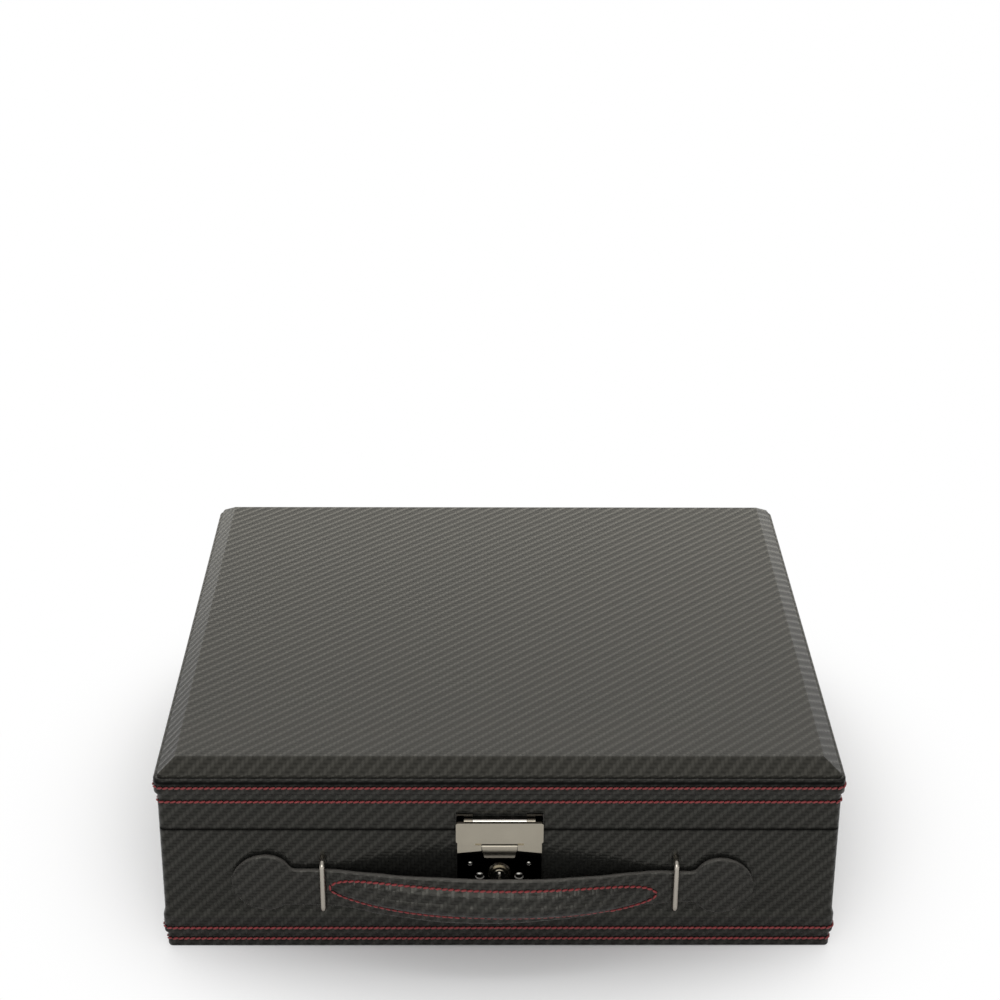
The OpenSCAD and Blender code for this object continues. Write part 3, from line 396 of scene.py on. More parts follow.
up_float = calc(tree, "ADD", calc(tree, "SUBTRACT", 1.0, turn), row_part)
flat_float = calc(tree, "ADD", calc(tree, "SUBTRACT", turn, 2.0), column_part)
upright_ribbon = ribbon(column_part, calc(tree, "MULTIPLY", up_float, 0.5))
level_ribbon = ribbon(row_part, calc(tree, "MULTIPLY", flat_float, 0.5))
tree.links.new(mix_value(tree, upright, level_ribbon, upright_ribbon), result["Height"])
tree.links.new(upright, result["Upright"])
swing = calc(tree, "SUBTRACT", calc(tree, "SUBTRACT", column, row), 0.5)
swing = calc(tree, "COSINE", calc(tree, "MULTIPLY", swing, math.pi / 2))
tree.links.new(add_up(tree, 0.5, (swing, 0.5)), result["Band"])
print("group made:", tree.name)

# %% [markdown]
# ## Fine skin grain and slow changes
#
# Under the emboss the plastic skin has a very fine pebble, and its shade drifts a little over a
# hand's width, as handling polishes it. Both come from noise, at two sizes. The group gives the
# pebble as a height and the drift as a mask, and each material decides how much it takes.

# %% Group: skin grain
skin_grain, given, result = new_group(
    "skin grain",
    [("Point", POINT, None), ("Pebble", NUMBER, 1600.0), ("Patch", NUMBER, 18.0)],
    [("Height", NUMBER), ("Drift", NUMBER)],
)
tree = skin_grain
pebble = add_node(tree, "TexVoronoi", Vector=given["Point"], Scale=given["Pebble"])
drift = add_node(
    tree, "TexNoise", Vector=given["Point"], Scale=given["Patch"], Detail=3.0, Roughness=0.55
)
tree.links.new(pebble.outputs["Distance"], result["Height"])
tree.links.new(drift.outputs["Fac"], result["Drift"])
print("group made:", tree.name)

# %% [markdown]
# ## A seam's dip
#
# Thread pulled tight draws the skin down into a shallow channel. Modelling it would cost many
# faces, so it is a height that falls near one level of the object: a bell curve round the
# height of the stitch row. Two rows can share a material, and the deeper one wins.

# %% Group: seam dip
seam_dip, given, result = new_group(
    "seam dip",
    [
        ("Point", POINT, None), ("Level A", NUMBER, 0.0), ("Level B", NUMBER, 0.0),
        ("Width", NUMBER, 1.2 * MM),
    ],
    [("Depth", NUMBER)],
)
# The leatherette also reads this bell as a mask for painted shade at seams and joints.
tree = seam_dip
level_here = split(tree, given["Point"])[2]
dips = []
for level in (given["Level A"], given["Level B"]):
    off = calc(tree, "DIVIDE", calc(tree, "SUBTRACT", level_here, level), given["Width"])
    square = calc(tree, "MULTIPLY", off, off)
    dips.append(calc(tree, "EXPONENT", calc(tree, "MULTIPLY", square, -1.0)))
tree.links.new(calc(tree, "MAXIMUM", *dips), result["Depth"])
print("group made:", tree.name)

# %% [markdown]
# ## Leatherette
#
# One recipe makes every leatherette surface, so that the case looks cut from one roll. Ribbons,
# bands, pebble and seam dips add up to one height for a Bump node, and `ridges` says how much of
# it the bands take. The crowns and the bands are painted lighter and the valleys darker, which is
# painted light and shade of the emboss, with a real slow drift of tone mixed in; the crowns and
# bands are also a little glossier. In the seam dips the colour and gleam are darkened as painted
# shade. The upright ribbons catch the light a little more than the level ones.
#
# Two more effects belong to single places. Round the `joint` level the skin's colour and gleam
# are darkened as painted shade, for the shade in a narrow joint, on upright faces only, which
# keeps the rims clear when the lid is open. And a light grey line is painted along the strap's
# cut edge as a painted highlight, where its mesh marks the edge.

# %% Make the leatherettes
NOWHERE = -1.0  # a level far below the case, for a seam or a joint that isn't there
UPRIGHT_BELOW = 0.8
RELIEF = 0.1 * MM
# The colour of the painted highlight along the strap's cut edge.
EDGE_HIGHLIGHT_COLOUR = (0.085, 0.080, 0.073, 1)
WARM_GLEAM = (1.0, 0.975, 0.86, 1)


def leatherette(
    name, colour, shine, gloss=0.18, ridges=0.3, rim=0.0,
    seams=(NOWHERE, NOWHERE), joint=(NOWHERE, 1 * MM),
):
    material, tree, shader = start_material(name)
    coordinates = add_node(tree, "TexCoord").outputs
    point, facing = coordinates["Object"], coordinates["Normal"]
    flat = place_group(tree, wall_place, Point=point, Facing=facing)
    weave = place_group(tree, carbon_weave, Place=flat["Place"])
    grain = place_group(tree, skin_grain, Point=point)
    dip = place_group(tree, seam_dip, Point=point, Level_A=seams[0], Level_B=seams[1])["Depth"]
    level, width = joint
    painted_gap_shade = place_group(tree, seam_dip, Point=point, Level_A=level, Level_B=NOWHERE, Width=width)

    height = add_up(
        tree, 0.0, (weave["Height"], 1.0 - ridges), (weave["Band"], 2.2 * ridges),
        (grain["Height"], 0.06), (dip, -3.0),
    )
    bump(tree, shader, height, RELIEF)

    rise = calc(tree, "ABSOLUTE", split(tree, facing)[2])
    upright = calc(tree, "LESS_THAN", rise, UPRIGHT_BELOW)
    joint_shade = calc(tree, "MULTIPLY", painted_gap_shade["Depth"], upright)
    # Painted shade: colour and gleam darken in the seam dips and round the joint level on upright
    # faces.
    painted_shade_factor = calc(
        tree, "MULTIPLY", add_up(tree, 1.0, (dip, -0.55)), add_up(tree, 1.0, (joint_shade, -0.92))
    )

    # Painted light and shade of the emboss: crowns and bands lighter, valleys darker; drift is real
    # tone.
    relief_shade_and_drift = add_up(
        tree, 0.1, (weave["Height"], 0.55), (weave["Band"], 0.35), (grain["Drift"], 0.25)
    )
    relief_shade_and_drift = calc(tree, "MULTIPLY", relief_shade_and_drift, painted_shade_factor)
    skin = mix_colour(tree, relief_shade_and_drift, shade(colour, 0.3), shade(colour, 1.7))
    # Painted highlight: a light grey line along the strap's cut edge, read from its mesh.
    painted = tree.nodes.new("ShaderNodeAttribute")
    painted.attribute_name = "rim"
    edge_highlight_mix = calc(tree, "MULTIPLY", painted.outputs["Fac"], rim)
    gleam = add_up(
        tree, 0.45, (weave["Height"], 0.45), (weave["Upright"], 0.20), (weave["Band"], 0.45)
    )
    set_inputs(
        tree, shader,
        Base_Color=mix_colour(tree, edge_highlight_mix, skin, EDGE_HIGHLIGHT_COLOUR),
        Roughness=add_up(tree, gloss + 0.03, (weave["Band"], -0.06), (grain["Drift"], 0.10)),
        Specular_IOR_Level=calc(tree, "MULTIPLY", gleam, calc(tree, "MULTIPLY", painted_shade_factor, shine)),
        Specular_Tint=WARM_GLEAM,
    )
    return material


# The wall's joint level is the parting, where a painted shade line stands for the lid's joint.
wall_skin = leatherette(
    "wall_leatherette", (0.008, 0.008, 0.0072), 0.27,
    seams=(WALL_SEAM, NOWHERE), joint=(PARTING, 0.9 * MM),
)
# On the trim, a painted shade line under the lip's upper edge stands for the shadow of a recess.
trim_skin = leatherette(
    "trim_leatherette", (0.008, 0.0078, 0.0074), 0.27,
    seams=(LIP_SEAM, BAND_SEAM), joint=(LIP_SEAM + 2.7 * MM, 1.4 * MM),
)
plinth_skin = leatherette(
    "plinth_leatherette", (0.008, 0.0078, 0.0074), 0.28, seams=(PLINTH_SEAM, NOWHERE)
)
top_skin = leatherette(
    "top_leatherette", (0.0125, 0.0118, 0.0098), 0.385, gloss=0.24, ridges=0.42
)
# The handle takes the painted highlight along its cut edge.
handle_skin = leatherette("handle_leatherette", (0.009, 0.0088, 0.0082), 0.30, rim=1.0)
print("leatherettes made: 5")

# %% [markdown]
# ## Suede and board
#
# Inside, the case is lined with a short-napped suede: nearly no gloss, a soft sheen at the
# edges and small swept patches. The boards behind the skin are pressed fibre, seen only at cut
# edges.

# %% Make suede and board
def suede(name, colour, sheen=0.5):
    material, tree, shader = start_material(name)
    point = object_point(tree)
    nap = add_node(tree, "TexNoise", Vector=point, Scale=2600.0, Detail=2.0).outputs["Fac"]
    swept = add_node(tree, "TexNoise", Vector=point, Scale=45.0, Detail=4.0, Distortion=0.8)
    tone = add_up(tree, -0.05, (nap, 0.45), (swept.outputs["Fac"], 0.75))
    bump(tree, shader, nap, 0.15 * MM)
    set_inputs(
        tree, shader,
        Base_Color=mix_colour(tree, tone, shade(colour, 0.6), shade(colour, 1.5)),
        Roughness=0.95, Specular_IOR_Level=0.15,
        Sheen_Weight=sheen, Sheen_Roughness=0.5, Sheen_Tint=(0.75, 0.72, 0.70, 1),
    )
    return material


def board(name):
    material, tree, shader = start_material(name)
    fibre = add_node(tree, "TexNoise", Vector=object_point(tree), Scale=900.0, Detail=5.0)
    fibre = fibre.outputs["Fac"]
    bump(tree, shader, fibre, 0.1 * MM)
    brown = mix_colour(tree, fibre, (0.30, 0.20, 0.11, 1), (0.52, 0.38, 0.23, 1))
    set_inputs(tree, shader, Base_Color=brown, Roughness=0.85)
    return material


print("suede and board can be made")

# %% [markdown]
# ## Metal
#
# The hasp is bright nickel on black nickel plates. Polished plate is a plain mirror with faint
# rub marks, and satin plate has fine scratches along its length. The barrel on the hasp's plate
# is rubbed by the flap and by thumbs, so its front has lost the black: from one place forwards,
# the colour changes to bare nickel. The lock's screws are a little darker than the flap, the
# rivets are black like their plate, and the wire loops are a little brighter.

# %% Make the metals
BLACK = (0.055, 0.052, 0.05)
BARE_NICKEL = (0.75, 0.72, 0.66, 1)
BARREL_FRONT, WEAR_FADE = -157.1 * MM, 0.6 * MM


def plated(name, colour, rough, scratches, worn_from=None):
    material, tree, shader = start_material(name)
    point = object_point(tree)
    lengthwise = add_node(tree, "Mapping", Vector=point, Scale=(1.0, 14.0, 14.0)).outputs["Vector"]
    rub = add_node(tree, "TexNoise", Vector=lengthwise, Scale=260.0, Detail=4.0).outputs["Fac"]
    haze = add_node(tree, "TexNoise", Vector=point, Scale=70.0, Detail=3.0).outputs["Fac"]
    plating = mix_colour(tree, haze, shade(colour, 0.86), shade(colour, 1.08))
    if worn_from is not None:
        worn = ramp(tree, split(tree, point)[1], worn_from, worn_from - WEAR_FADE)
        plating = mix_colour(tree, worn, plating, BARE_NICKEL)
    bump(tree, shader, rub, 0.00001 + 0.00004 * scratches)
    roughness = add_up(tree, rough, (rub, scratches))
    set_inputs(tree, shader, Base_Color=plating, Roughness=roughness, Metallic=1.0)
    return material


finish = {
    "board": board("fibre_board"),
    "wall_leatherette": wall_skin,
    "trim_leatherette": trim_skin,
    "top_leatherette": top_skin,
    "handle_leatherette": handle_skin,
    "lining": suede("lining_suede", (0.045, 0.042, 0.040)),
    "divider_velvet": suede("divider_suede", (0.050, 0.047, 0.044)),
    "cushion_velvet": suede("cushion_suede", (0.070, 0.065, 0.060), 0.7),
    "hinge_steel": plated("satin_nickel", (0.62, 0.61, 0.58), 0.24, 0.25),
    "dark_nickel": plated("black_nickel", BLACK, 0.07, 0.08),
    "bright_nickel": plated("bright_nickel", (0.35, 0.32, 0.26), 0.16, 0.12),
    "key_nickel": plated("key_nickel", (0.66, 0.64, 0.60), 0.12, 0.12),
    "case_steel": plated("zinc_steel", (0.52, 0.52, 0.51), 0.30, 0.25),
    "bolt_brass": plated("bolt_brass", (0.72, 0.55, 0.28), 0.22, 0.20),
}
wire = plated("wire_nickel", (0.46, 0.425, 0.37), 0.09, 0.10)
own_finish = {
    "plinth_cover": plinth_skin,
    "hasp_plate": plated("worn_black_nickel", BLACK, 0.07, 0.08, worn_from=BARREL_FRONT),
    "hasp_rivets": finish["dark_nickel"],
    "lock_screws": plated("screw_nickel", (0.26, 0.25, 0.23), 0.12, 0.12),
    "handle_loop_left": wire,
    "handle_loop_right": wire,
}
print("finishes made:", len(finish), "and", len(own_finish), "of a part's own")

# %% [markdown]
# ## Dressing the rigid parts
#
# The exact model's record says which finish each part takes, so a loop can hand the materials
# out. A few parts take one of their own instead, such as the plinth, whose seam lies at another
# level than the foot band's.

# %% Give every part its finish
for entry in frame["record"]["subparts"]:
    materials = parts[entry["node"]].data.materials
    materials.clear()
    materials.append(own_finish.get(entry["node"], finish[entry["material_slot"]]))

# %% [markdown]
# ## Red saddle stitching
#
# Four rows of red thread run right round the case: on the lid's lip, on its wall, on the foot
# band and on the plinth. A texture of dashes would look flat at the corners, so each stitch is
# a small real piece: a stretched ball that lies on the skin with its ends sunk in, a little
# askew, as a saddle stitch lies. One ball is made once, and copies of its points are turned and
# moved to every place, which is far quicker than making hundreds of balls.

# %% Tools for sewing
STITCH_PITCH = 2.9 * MM
STITCH_LENGTH = 3.2 * MM
FLATNESS = 0.8


def thread_material(name, colour):
    material, tree, shader = start_material(name)
    ply = add_node(tree, "TexNoise", Vector=object_point(tree), Scale=3000.0, Detail=2.0)
    ply = ply.outputs["Fac"]
    bump(tree, shader, ply, 0.1 * MM)
    dyed = mix_colour(tree, ply, shade(colour, 0.65), shade(colour, 1.35))
    set_inputs(tree, shader, Base_Color=dyed, Roughness=0.5, Sheen_Weight=0.1)
    return material


red_thread = thread_material("red_thread", (0.19, 0.011, 0.013))

ball = bmesh.new()
bmesh.ops.create_uvsphere(ball, u_segments=6, v_segments=5, radius=1)
ball.verts.ensure_lookup_table()
BALL_POINTS = [point.co.copy() for point in ball.verts]
BALL_FACES = sorted([point.index for point in face.verts] for face in ball.faces)
ball.free()


def new_piece(name, points, faces, material):
    mesh = bpy.data.meshes.new(name)
    mesh.from_pydata(points, [], faces)
    mesh.shade_smooth()
    mesh.materials.append(material)
    return add_object(name, mesh)


def sew(name, places, slant=15, thread=1.3 * MM, lift=0.18):
    """Lays one stitch at each place, which is a point, the way along and the way out."""
    points, faces = [], []
    for spot, along, out in places:
        lean = math.tan(math.radians(slant)) * out.cross(along)
        along = (along + lean).normalized()
        sideways, outward = out.cross(along) * thread / 2, out * thread / 2 * FLATNESS
        turn = Matrix((sideways, outward, along * STITCH_LENGTH / 2)).transposed()
        spot = spot + out * thread * lift
        first = len(points)
        points += [turn @ point + spot for point in BALL_POINTS]
        faces += [[first + i for i in face] for face in BALL_FACES]
    print(name, len(places), "stitches")
    return new_piece(name, points, faces, red_thread)


def along_line(line, pitch):
    """Even steps along a closed line of points: each gives the point and the direction there."""
    line = line + [line[0]]
    lengths = [(b - a).length for a, b in zip(line, line[1:])]
    total = sum(lengths)
    count = round(total / pitch)
    steps, k, walked = [], 0, 0.0
    for i in range(count):
        goal = total * (i + 0.5) / count
        while walked + lengths[k] < goal:
            walked += lengths[k]
            k += 1
        a, b = line[k], line[k + 1]
        steps.append((a.lerp(b, (goal - walked) / lengths[k]), (b - a).normalized()))
    return steps


print("one stitch has", len(BALL_FACES), "faces")

# %% [markdown]
# The rows follow a rounded rectangle at one height. The line is drawn corner by corner, and the
# outward direction at each stitch is square to the line and level.

# %% Sew the four rows
WALL_CORNER = 3.0 * MM
CORNER_STEPS = 10
UP = Vector((0, 0, 1))


def rounded_line(half_x, half_y, corner, level):
    line = []
    for k, (sx, sy) in enumerate([(1, -1), (1, 1), (-1, 1), (-1, -1)]):
        centre = Vector((sx * (half_x - corner), sy * (half_y - corner), level))
        for i in range(CORNER_STEPS + 1):
            angle = math.radians(-90 + 90 * k + 90 * i / CORNER_STEPS)
            line.append(centre + Vector((math.cos(angle), math.sin(angle), 0)) * corner)
    return line


for name, level, reach, corner, body in (
    ("stitches_lip", LIP_SEAM, lip_high, 4.5 * MM, "lid"),
    ("stitches_lid_wall", WALL_SEAM, lid_high, WALL_CORNER, "lid"),
    ("stitches_foot_band", BAND_SEAM, band_high, 3.9 * MM, "base"),
    ("stitches_plinth", PLINTH_SEAM, plinth_high, 2.4 * MM, "base"),
):
    line = rounded_line(reach.x, reach.y, corner, level)
    steps = along_line(line, STITCH_PITCH)
    row = sew(name, [(spot, along, along.cross(UP).normalized()) for spot, along in steps])
    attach(row, body)

# %% [markdown]
# ## The fold over the foot band
#
# The wall's leatherette runs down over the top of the foot band without a step. The exact parts
# leave a small step there, so a thin skin with a soft S-shaped section is swept round the case
# to cover it. One section is drawn, and every place of the rounded line carries a copy.

# %% Sweep the fold
FOLD_TOP, FOLD_FOOT = 23.0 * MM, 18.5 * MM
PROUD, SUNK = 0.95 * MM, -0.4 * MM
FOLD_STEPS = 10


def ease(t):
    """Runs from 0 to 1 with a soft start and a soft end."""
    return t * t * (3 - 2 * t)


section_line = [(SUNK, FOLD_TOP)]
for i in range(FOLD_STEPS + 1):
    t = i / FOLD_STEPS
    section_line.append((PROUD * ease(t), FOLD_TOP + (FOLD_FOOT - FOLD_TOP) * t))
section_line.append((SUNK, FOLD_FOOT))
points = []
for reach, level in section_line:
    points += rounded_line(base_high.x + reach, base_high.y + reach, WALL_CORNER + reach, level)
around = len(points) // len(section_line)
faces = []
for k in range(len(section_line)):
    below = (k + 1) % len(section_line)
    for i in range(around):
        j = (i + 1) % around
        faces.append([k * around + i, below * around + i, below * around + j, k * around + j])
fold = new_piece("foot_fold", points, faces, wall_skin)
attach(fold, "base")
print("fold has", len(faces), "faces")

# %% [markdown]
# ## The strap handle
#
# The handle is one loose leatherette strap. It passes behind two wire loops, ends in two
# leaf-shaped pads that can't slip through, and carries a padded grip between the loops, which
# stands off the wall. It is lofted: at each of many places along it, a few numbers say where
# its middle is, how high its edges reach and how far the padding swells, and one closed section
# is drawn from them. The two ends were cut by hand, so they aren't quite alike. All its numbers
# are in millimetres, until its points are made.

# %% Describe the strap
STRAP_BACK, STRAP_T, STRAP_Z = -154.9, 3.0, 38.4
GRIP_MIDDLE, GRIP_HALF, GRIP_BOW = -3.0, 77.0, 13.0
BOW_EASE = 6.0
LEAF_HALF, LEAF_TIP, LEAF_ROUND, LEAF_FILLET = 16.2, 17.4, 13.0, 4.0
LEAVES = {-1: (-116.0, 2.6, 3.5), 1: (110.0, 0.7, -1.1)}  # side: middle, rise and tip's height
HALF_HEIGHTS = [
    (-140, 10.5), (-104, 10.5), (-76, 10.7), (-56, 11.9), (-26, 13.0), (0, 12.8),
    (33, 11.9), (57, 10.8), (74, 9.8), (96, 9.0), (140, 9.0),
]


def arc_radius(half, rise):
    return (half * half + rise * rise) / (2 * rise)


def smooth_between(table, x):
    for (x0, y0), (x1, y1) in zip(table, table[1:]):
        if x <= x1:
            return y0 + (y1 - y0) * ease((x - x0) / (x1 - x0))


def middle_y(x):
    """The grip bows out in an arc, which eases into the flat ends."""
    radius = arc_radius(GRIP_HALF, GRIP_BOW)
    reach = min(abs(x - GRIP_MIDDLE), radius * 0.9)
    rise = math.sqrt(radius**2 - reach**2) - (radius - GRIP_BOW)
    return STRAP_BACK - STRAP_T / 2 - (rise + math.sqrt(rise * rise + BOW_EASE)) / 2


def leaf_reach(t, tip, neck):
    """Half height of a leaf at t mm from its middle; the neck is on the positive side."""
    if t < 0:
        radius = arc_radius(LEAF_TIP, LEAF_HALF - tip)
        return LEAF_HALF - radius + math.sqrt(max(radius**2 - t * t, 0))
    inner = LEAF_HALF - LEAF_ROUND
    fillet_z = neck + LEAF_FILLET
    fillet_x = math.sqrt((LEAF_ROUND + LEAF_FILLET) ** 2 - (fillet_z - inner) ** 2)
    if t < fillet_x * LEAF_ROUND / (LEAF_ROUND + LEAF_FILLET):
        return inner + math.sqrt(LEAF_ROUND**2 - t * t)
    if t < fillet_x:
        return fillet_z - math.sqrt(LEAF_FILLET**2 - (t - fillet_x) ** 2)
    return neck


def strap_edges(x):
    side = -1 if x < GRIP_MIDDLE else 1
    centre, rise, tip = LEAVES[side]
    neck = smooth_between(HALF_HEIGHTS, x)
    t = (centre - x) * side
    high = rise + leaf_reach(t, tip, neck - rise)
    low = rise - leaf_reach(t, -tip, neck + rise)
    return STRAP_Z + low, STRAP_Z + high


for x in (-133, -116, -90, -3, 90, 127):
    print(x, "mm: edges at", [round(z, 1) for z in strap_edges(x)])

# %% [markdown]
# The padding lies inside a long oval of stitches. It is fuller below, because the filling sags,
# and a shallow crease with small wrinkles runs along its upper third where the grip bends.

# %% Describe the padding
OVAL_HALF, OVAL_HEIGHT, OVAL_DROP, OVAL_TILT = 81.0, 7.7, 1.1, 1.75 / 75
SWELL, SAG = 3.4, 0.28
CREASE_AT, CREASE_WIDTH, CREASE_DEPTH = 0.16, 0.22, 1.3
WRINKLE_AT, WRINKLE_WIDTH, WRINKLE_DEPTH = 0.5, 0.28, 0.28
EDGE_ROUND = 1.3


def bell(value, middle, width):
    return math.exp(-(((value - middle) / width) ** 2))


def roll_over(edge, radius):
    """Rises from 0 at an edge to 1, like a quarter circle of that radius."""
    return math.sqrt(max(1 - (1 - min(edge / radius, 1)) ** 2, 0))


def oval(x):
    """Middle, half height and fullness of the padding at one place along the strap."""
    u = max(min((x - GRIP_MIDDLE) / OVAL_HALF, 1), -1)
    fullness = max(1 - u**4, 0)
    middle = STRAP_Z - OVAL_DROP - OVAL_TILT * (x - GRIP_MIDDLE)
    return middle, OVAL_HEIGHT * math.sqrt(fullness), fullness


def swelling(x, z):
    middle, half, fullness = oval(x)
    if half < 0.2:
        return 0.0
    r = (z - middle) / half
    if abs(r) >= 1:
        return 0.0
    swell = SWELL * fullness**0.7 * (1 - r * r) ** 0.6 * (1 - SAG * r)
    uneven = 0.75 + 0.25 * noise.noise(Vector((x / 9, 0, 0)))
    crease = CREASE_DEPTH * uneven * bell(r, CREASE_AT, CREASE_WIDTH)
    ruffle = noise.noise(Vector((x / 3.4, z / 2.4, 3.0)))
    wrinkle = WRINKLE_DEPTH * ruffle * bell(r, WRINKLE_AT, WRINKLE_WIDTH)
    return swell - (crease + wrinkle) * fullness


def strap_point(x, z, front):
    """A point of the strap's skin, in metres; the back swells less than the front."""
    low, high = strap_edges(x)
    half = STRAP_T / 2 * roll_over(min(z - low, high - z), EDGE_ROUND)
    offset = half + swelling(x, z) * (1 if front else 0.4)
    slope = middle_y(x + 0.5) - middle_y(x - 0.5)
    out = Vector((slope, -1, 0)).normalized() * (1 if front else -1)
    return (Vector((x, middle_y(x), z)) + out * offset) * MM


print("padding stands out", round(swelling(0, STRAP_Z - 3), 1), "mm")

# %% [markdown]
# The strap is cut in two at the middle of the grip. On the real handle each half bends at its own
# end when it is pulled out: the leaf slides along the wall while the grip moves away from it. The
# normals are taken from the whole strap before the cut, so the cut doesn't show in the shading.
# Each point also carries a value that is 1 on the cut edge, where the leatherette paints a light
# grey line as a painted highlight.

# %% Loft the strap
FRONT, BACK = 30, 18
LEAF_STEP = 5.5
NECKS = (-98, 92)
EDGE_HIGHLIGHT_WIDTH = 0.55
PULL_ENDS = {"left": (-64, -86), "right": (58, 84)}


def spread(start, end, count):
    return [start + (end - start) * i / count for i in range(count)]


left, right = LEAVES[-1][0], LEAVES[1][0]
stations = [left - LEAF_TIP * math.sin(math.radians(84 - LEAF_STEP * i)) for i in range(15)]
stations += spread(left, NECKS[0], 16) + spread(NECKS[0], GRIP_MIDDLE, 56)
stations += spread(GRIP_MIDDLE, NECKS[1], 56) + spread(NECKS[1], right, 16)
stations += [right + LEAF_TIP * math.sin(math.radians(LEAF_STEP * i)) for i in range(17)]


def section(x):
    """One closed ring of points: up the front and down the back, closer together at edges."""
    low, high = strap_edges(x)
    front = [0.5 - 0.5 * math.cos(math.pi * i / FRONT) for i in range(FRONT + 1)]
    back = [0.5 + 0.5 * math.cos(math.pi * i / BACK) for i in range(1, BACK)]
    return [
        strap_point(x, low + (high - low) * t, side)
        for heights, side in ((front, True), (back, False))
        for t in heights
    ]


def rim_share(x, z):
    """1 on the strap's cut edge, where a highlight is painted, falling to 0 within a millimetre."""
    low, high = strap_edges(x)
    return bell(min(z - low, high - z), 0, EDGE_HIGHLIGHT_WIDTH)


rings = [section(x) for x in stations]
per_ring = len(rings[0])
cut = stations.index(GRIP_MIDDLE)


def strap_mesh(name, first, last):
    """Joins the rings from first to last into a tube that is closed at both ends."""
    faces = []
    for k in range(last - first):
        for i in range(per_ring):
            j = (i + 1) % per_ring
            a, b = k * per_ring, (k + 1) * per_ring
            faces.append([a + i, b + i, b + j, a + j])
    faces.append(list(range(per_ring)))
    faces.append([(last - first) * per_ring + i for i in reversed(range(per_ring))])
    points = [p for ring in rings[first : last + 1] for p in ring]
    return new_piece(name, points, faces, handle_skin)


def bend_with_pull(piece):
    """Bakes a piece's placement into its points."""
    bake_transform(piece)


whole = strap_mesh("strap_whole", 0, len(rings) - 1)
whole_normals = [point.normal.copy() for point in whole.data.vertices]
bpy.data.objects.remove(whole)

for label, first, last in (("left", 0, cut), ("right", cut, len(rings) - 1)):
    piece = strap_mesh("handle_strap_" + label, first, last)
    normals = whole_normals[first * per_ring : (last + 1) * per_ring]
    piece.data.normals_split_custom_set_from_vertices(normals)
    # The value marks the cut edge, where the leatherette paints a highlight.
    rim = piece.data.attributes.new("rim", "FLOAT", "POINT")
    for point, share in zip(piece.data.vertices, rim.data):
        share.value = rim_share(point.co.x / MM, point.co.z / MM)
    bend_with_pull(piece)
    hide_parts("handle_tab_" + label)
    if label == "left":
        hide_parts("handle_grip")
    print(piece.name, len(piece.data.polygons), "faces")

# %% [markdown]
# One line of stitches runs round the padding. Each stitch lies on the strap's front, so its
# place and its outward direction come from the same function that drew the strap. Under the
# belly, where the padding hangs over the lower row, the stitches lie deeper.

# %% Sew round the grip
OVAL_POINTS = 240
GRIP_PITCH = 3.1
LOOK_ASIDE = 0.6
BELLY, BELLY_SINK = (-20, 55), 0.5 * MM

flat_line = []
for i in range(OVAL_POINTS):
    angle = 2 * math.pi * i / OVAL_POINTS
    u = math.copysign(abs(math.cos(angle)) ** 0.75, math.cos(angle))
    x = GRIP_MIDDLE + OVAL_HALF * u
    middle, half, _ = oval(x)
    flat_line.append(Vector((x, 0, middle + half * (1 if math.sin(angle) >= 0 else -1))))

places = {"left": [], "right": []}
for spot, along in along_line(flat_line, GRIP_PITCH):
    x, z = spot.x, spot.z
    here = strap_point(x, z, True)
    ahead = strap_point(x + along.x * LOOK_ASIDE, z + along.z * LOOK_ASIDE, True)
    beside = strap_point(x - along.z * LOOK_ASIDE, z + along.x * LOOK_ASIDE, True)
    along = (ahead - here).normalized()
    out = along.cross(beside - here).normalized()
    if out.y > 0:
        out.negate()
    if z < oval(x)[0] and BELLY[0] < x < BELLY[1]:
        here = here - out * BELLY_SINK
    places["left" if x < GRIP_MIDDLE else "right"].append((here, along, out))
for label in PULL_ENDS:
    row = sew("stitches_grip_" + label, places[label], slant=12, thread=1.35 * MM, lift=0.45)
    bend_with_pull(row)

# %% [markdown]
# ## The cushions
#
# Each compartment of the two back rows holds a stuffed suede cushion that a watch is buckled
# round. A cushion is a bag under pressure, and cloth simulation gives its shape: a slightly
# small block is turned into an even net and blown up for a few frames. It is done once, five
# times enlarged so that the cloth's own sizes suit it, and every cushion is a copy that is
# kneaded a little differently.

# %% Blow up one cushion
ENLARGE = 5.0
STUFFING_FRAMES = 20


def with_modifiers_applied(piece, name):
    view = bpy.context.evaluated_depsgraph_get()
    mesh = bpy.data.meshes.new_from_object(piece.evaluated_get(view), depsgraph=view)
    bpy.data.objects.remove(piece)
    return add_object(name, mesh)


pillow_low, pillow_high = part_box("pillow_back_1")
pillow_size = pillow_high - pillow_low
block_size = pillow_size * ENLARGE * 0.88
shape = bmesh.new()
bmesh.ops.create_cube(shape, size=1, matrix=Matrix.Diagonal((*block_size, 1)))
bmesh.ops.bevel(
    shape, geom=shape.edges[:], offset=min(block_size) * 0.22, segments=4, profile=0.5,
    affect="EDGES", material=-1,
)
mesh = bpy.data.meshes.new("cushion_block")
shape.to_mesh(mesh)
shape.free()
bag = add_object("cushion_block", mesh)
net = bag.modifiers.new("even_net", "REMESH")
net.mode = "VOXEL"
net.voxel_size = 3.6 * MM * ENLARGE
bag = with_modifiers_applied(bag, "cushion_net")
cloth = bag.modifiers.new("stuffing", "CLOTH")
cloth.settings.quality = 5
cloth.settings.use_pressure = True
cloth.settings.uniform_pressure_force = 5.0
cloth.settings.tension_stiffness = 25
cloth.settings.compression_stiffness = 12
cloth.settings.bending_stiffness = 0.4
cloth.settings.effector_weights.gravity = 0.0
cloth.point_cache.frame_start = 1
cloth.point_cache.frame_end = STUFFING_FRAMES
for moment in range(1, STUFFING_FRAMES + 1):
    bpy.context.scene.frame_set(moment)
bag = with_modifiers_applied(bag, "cushion_bag")
bpy.context.scene.frame_set(1)
finer = bag.modifiers.new("finer", "SUBSURF")
finer.levels = finer.render_levels = 1
bag = with_modifiers_applied(bag, "cushion")
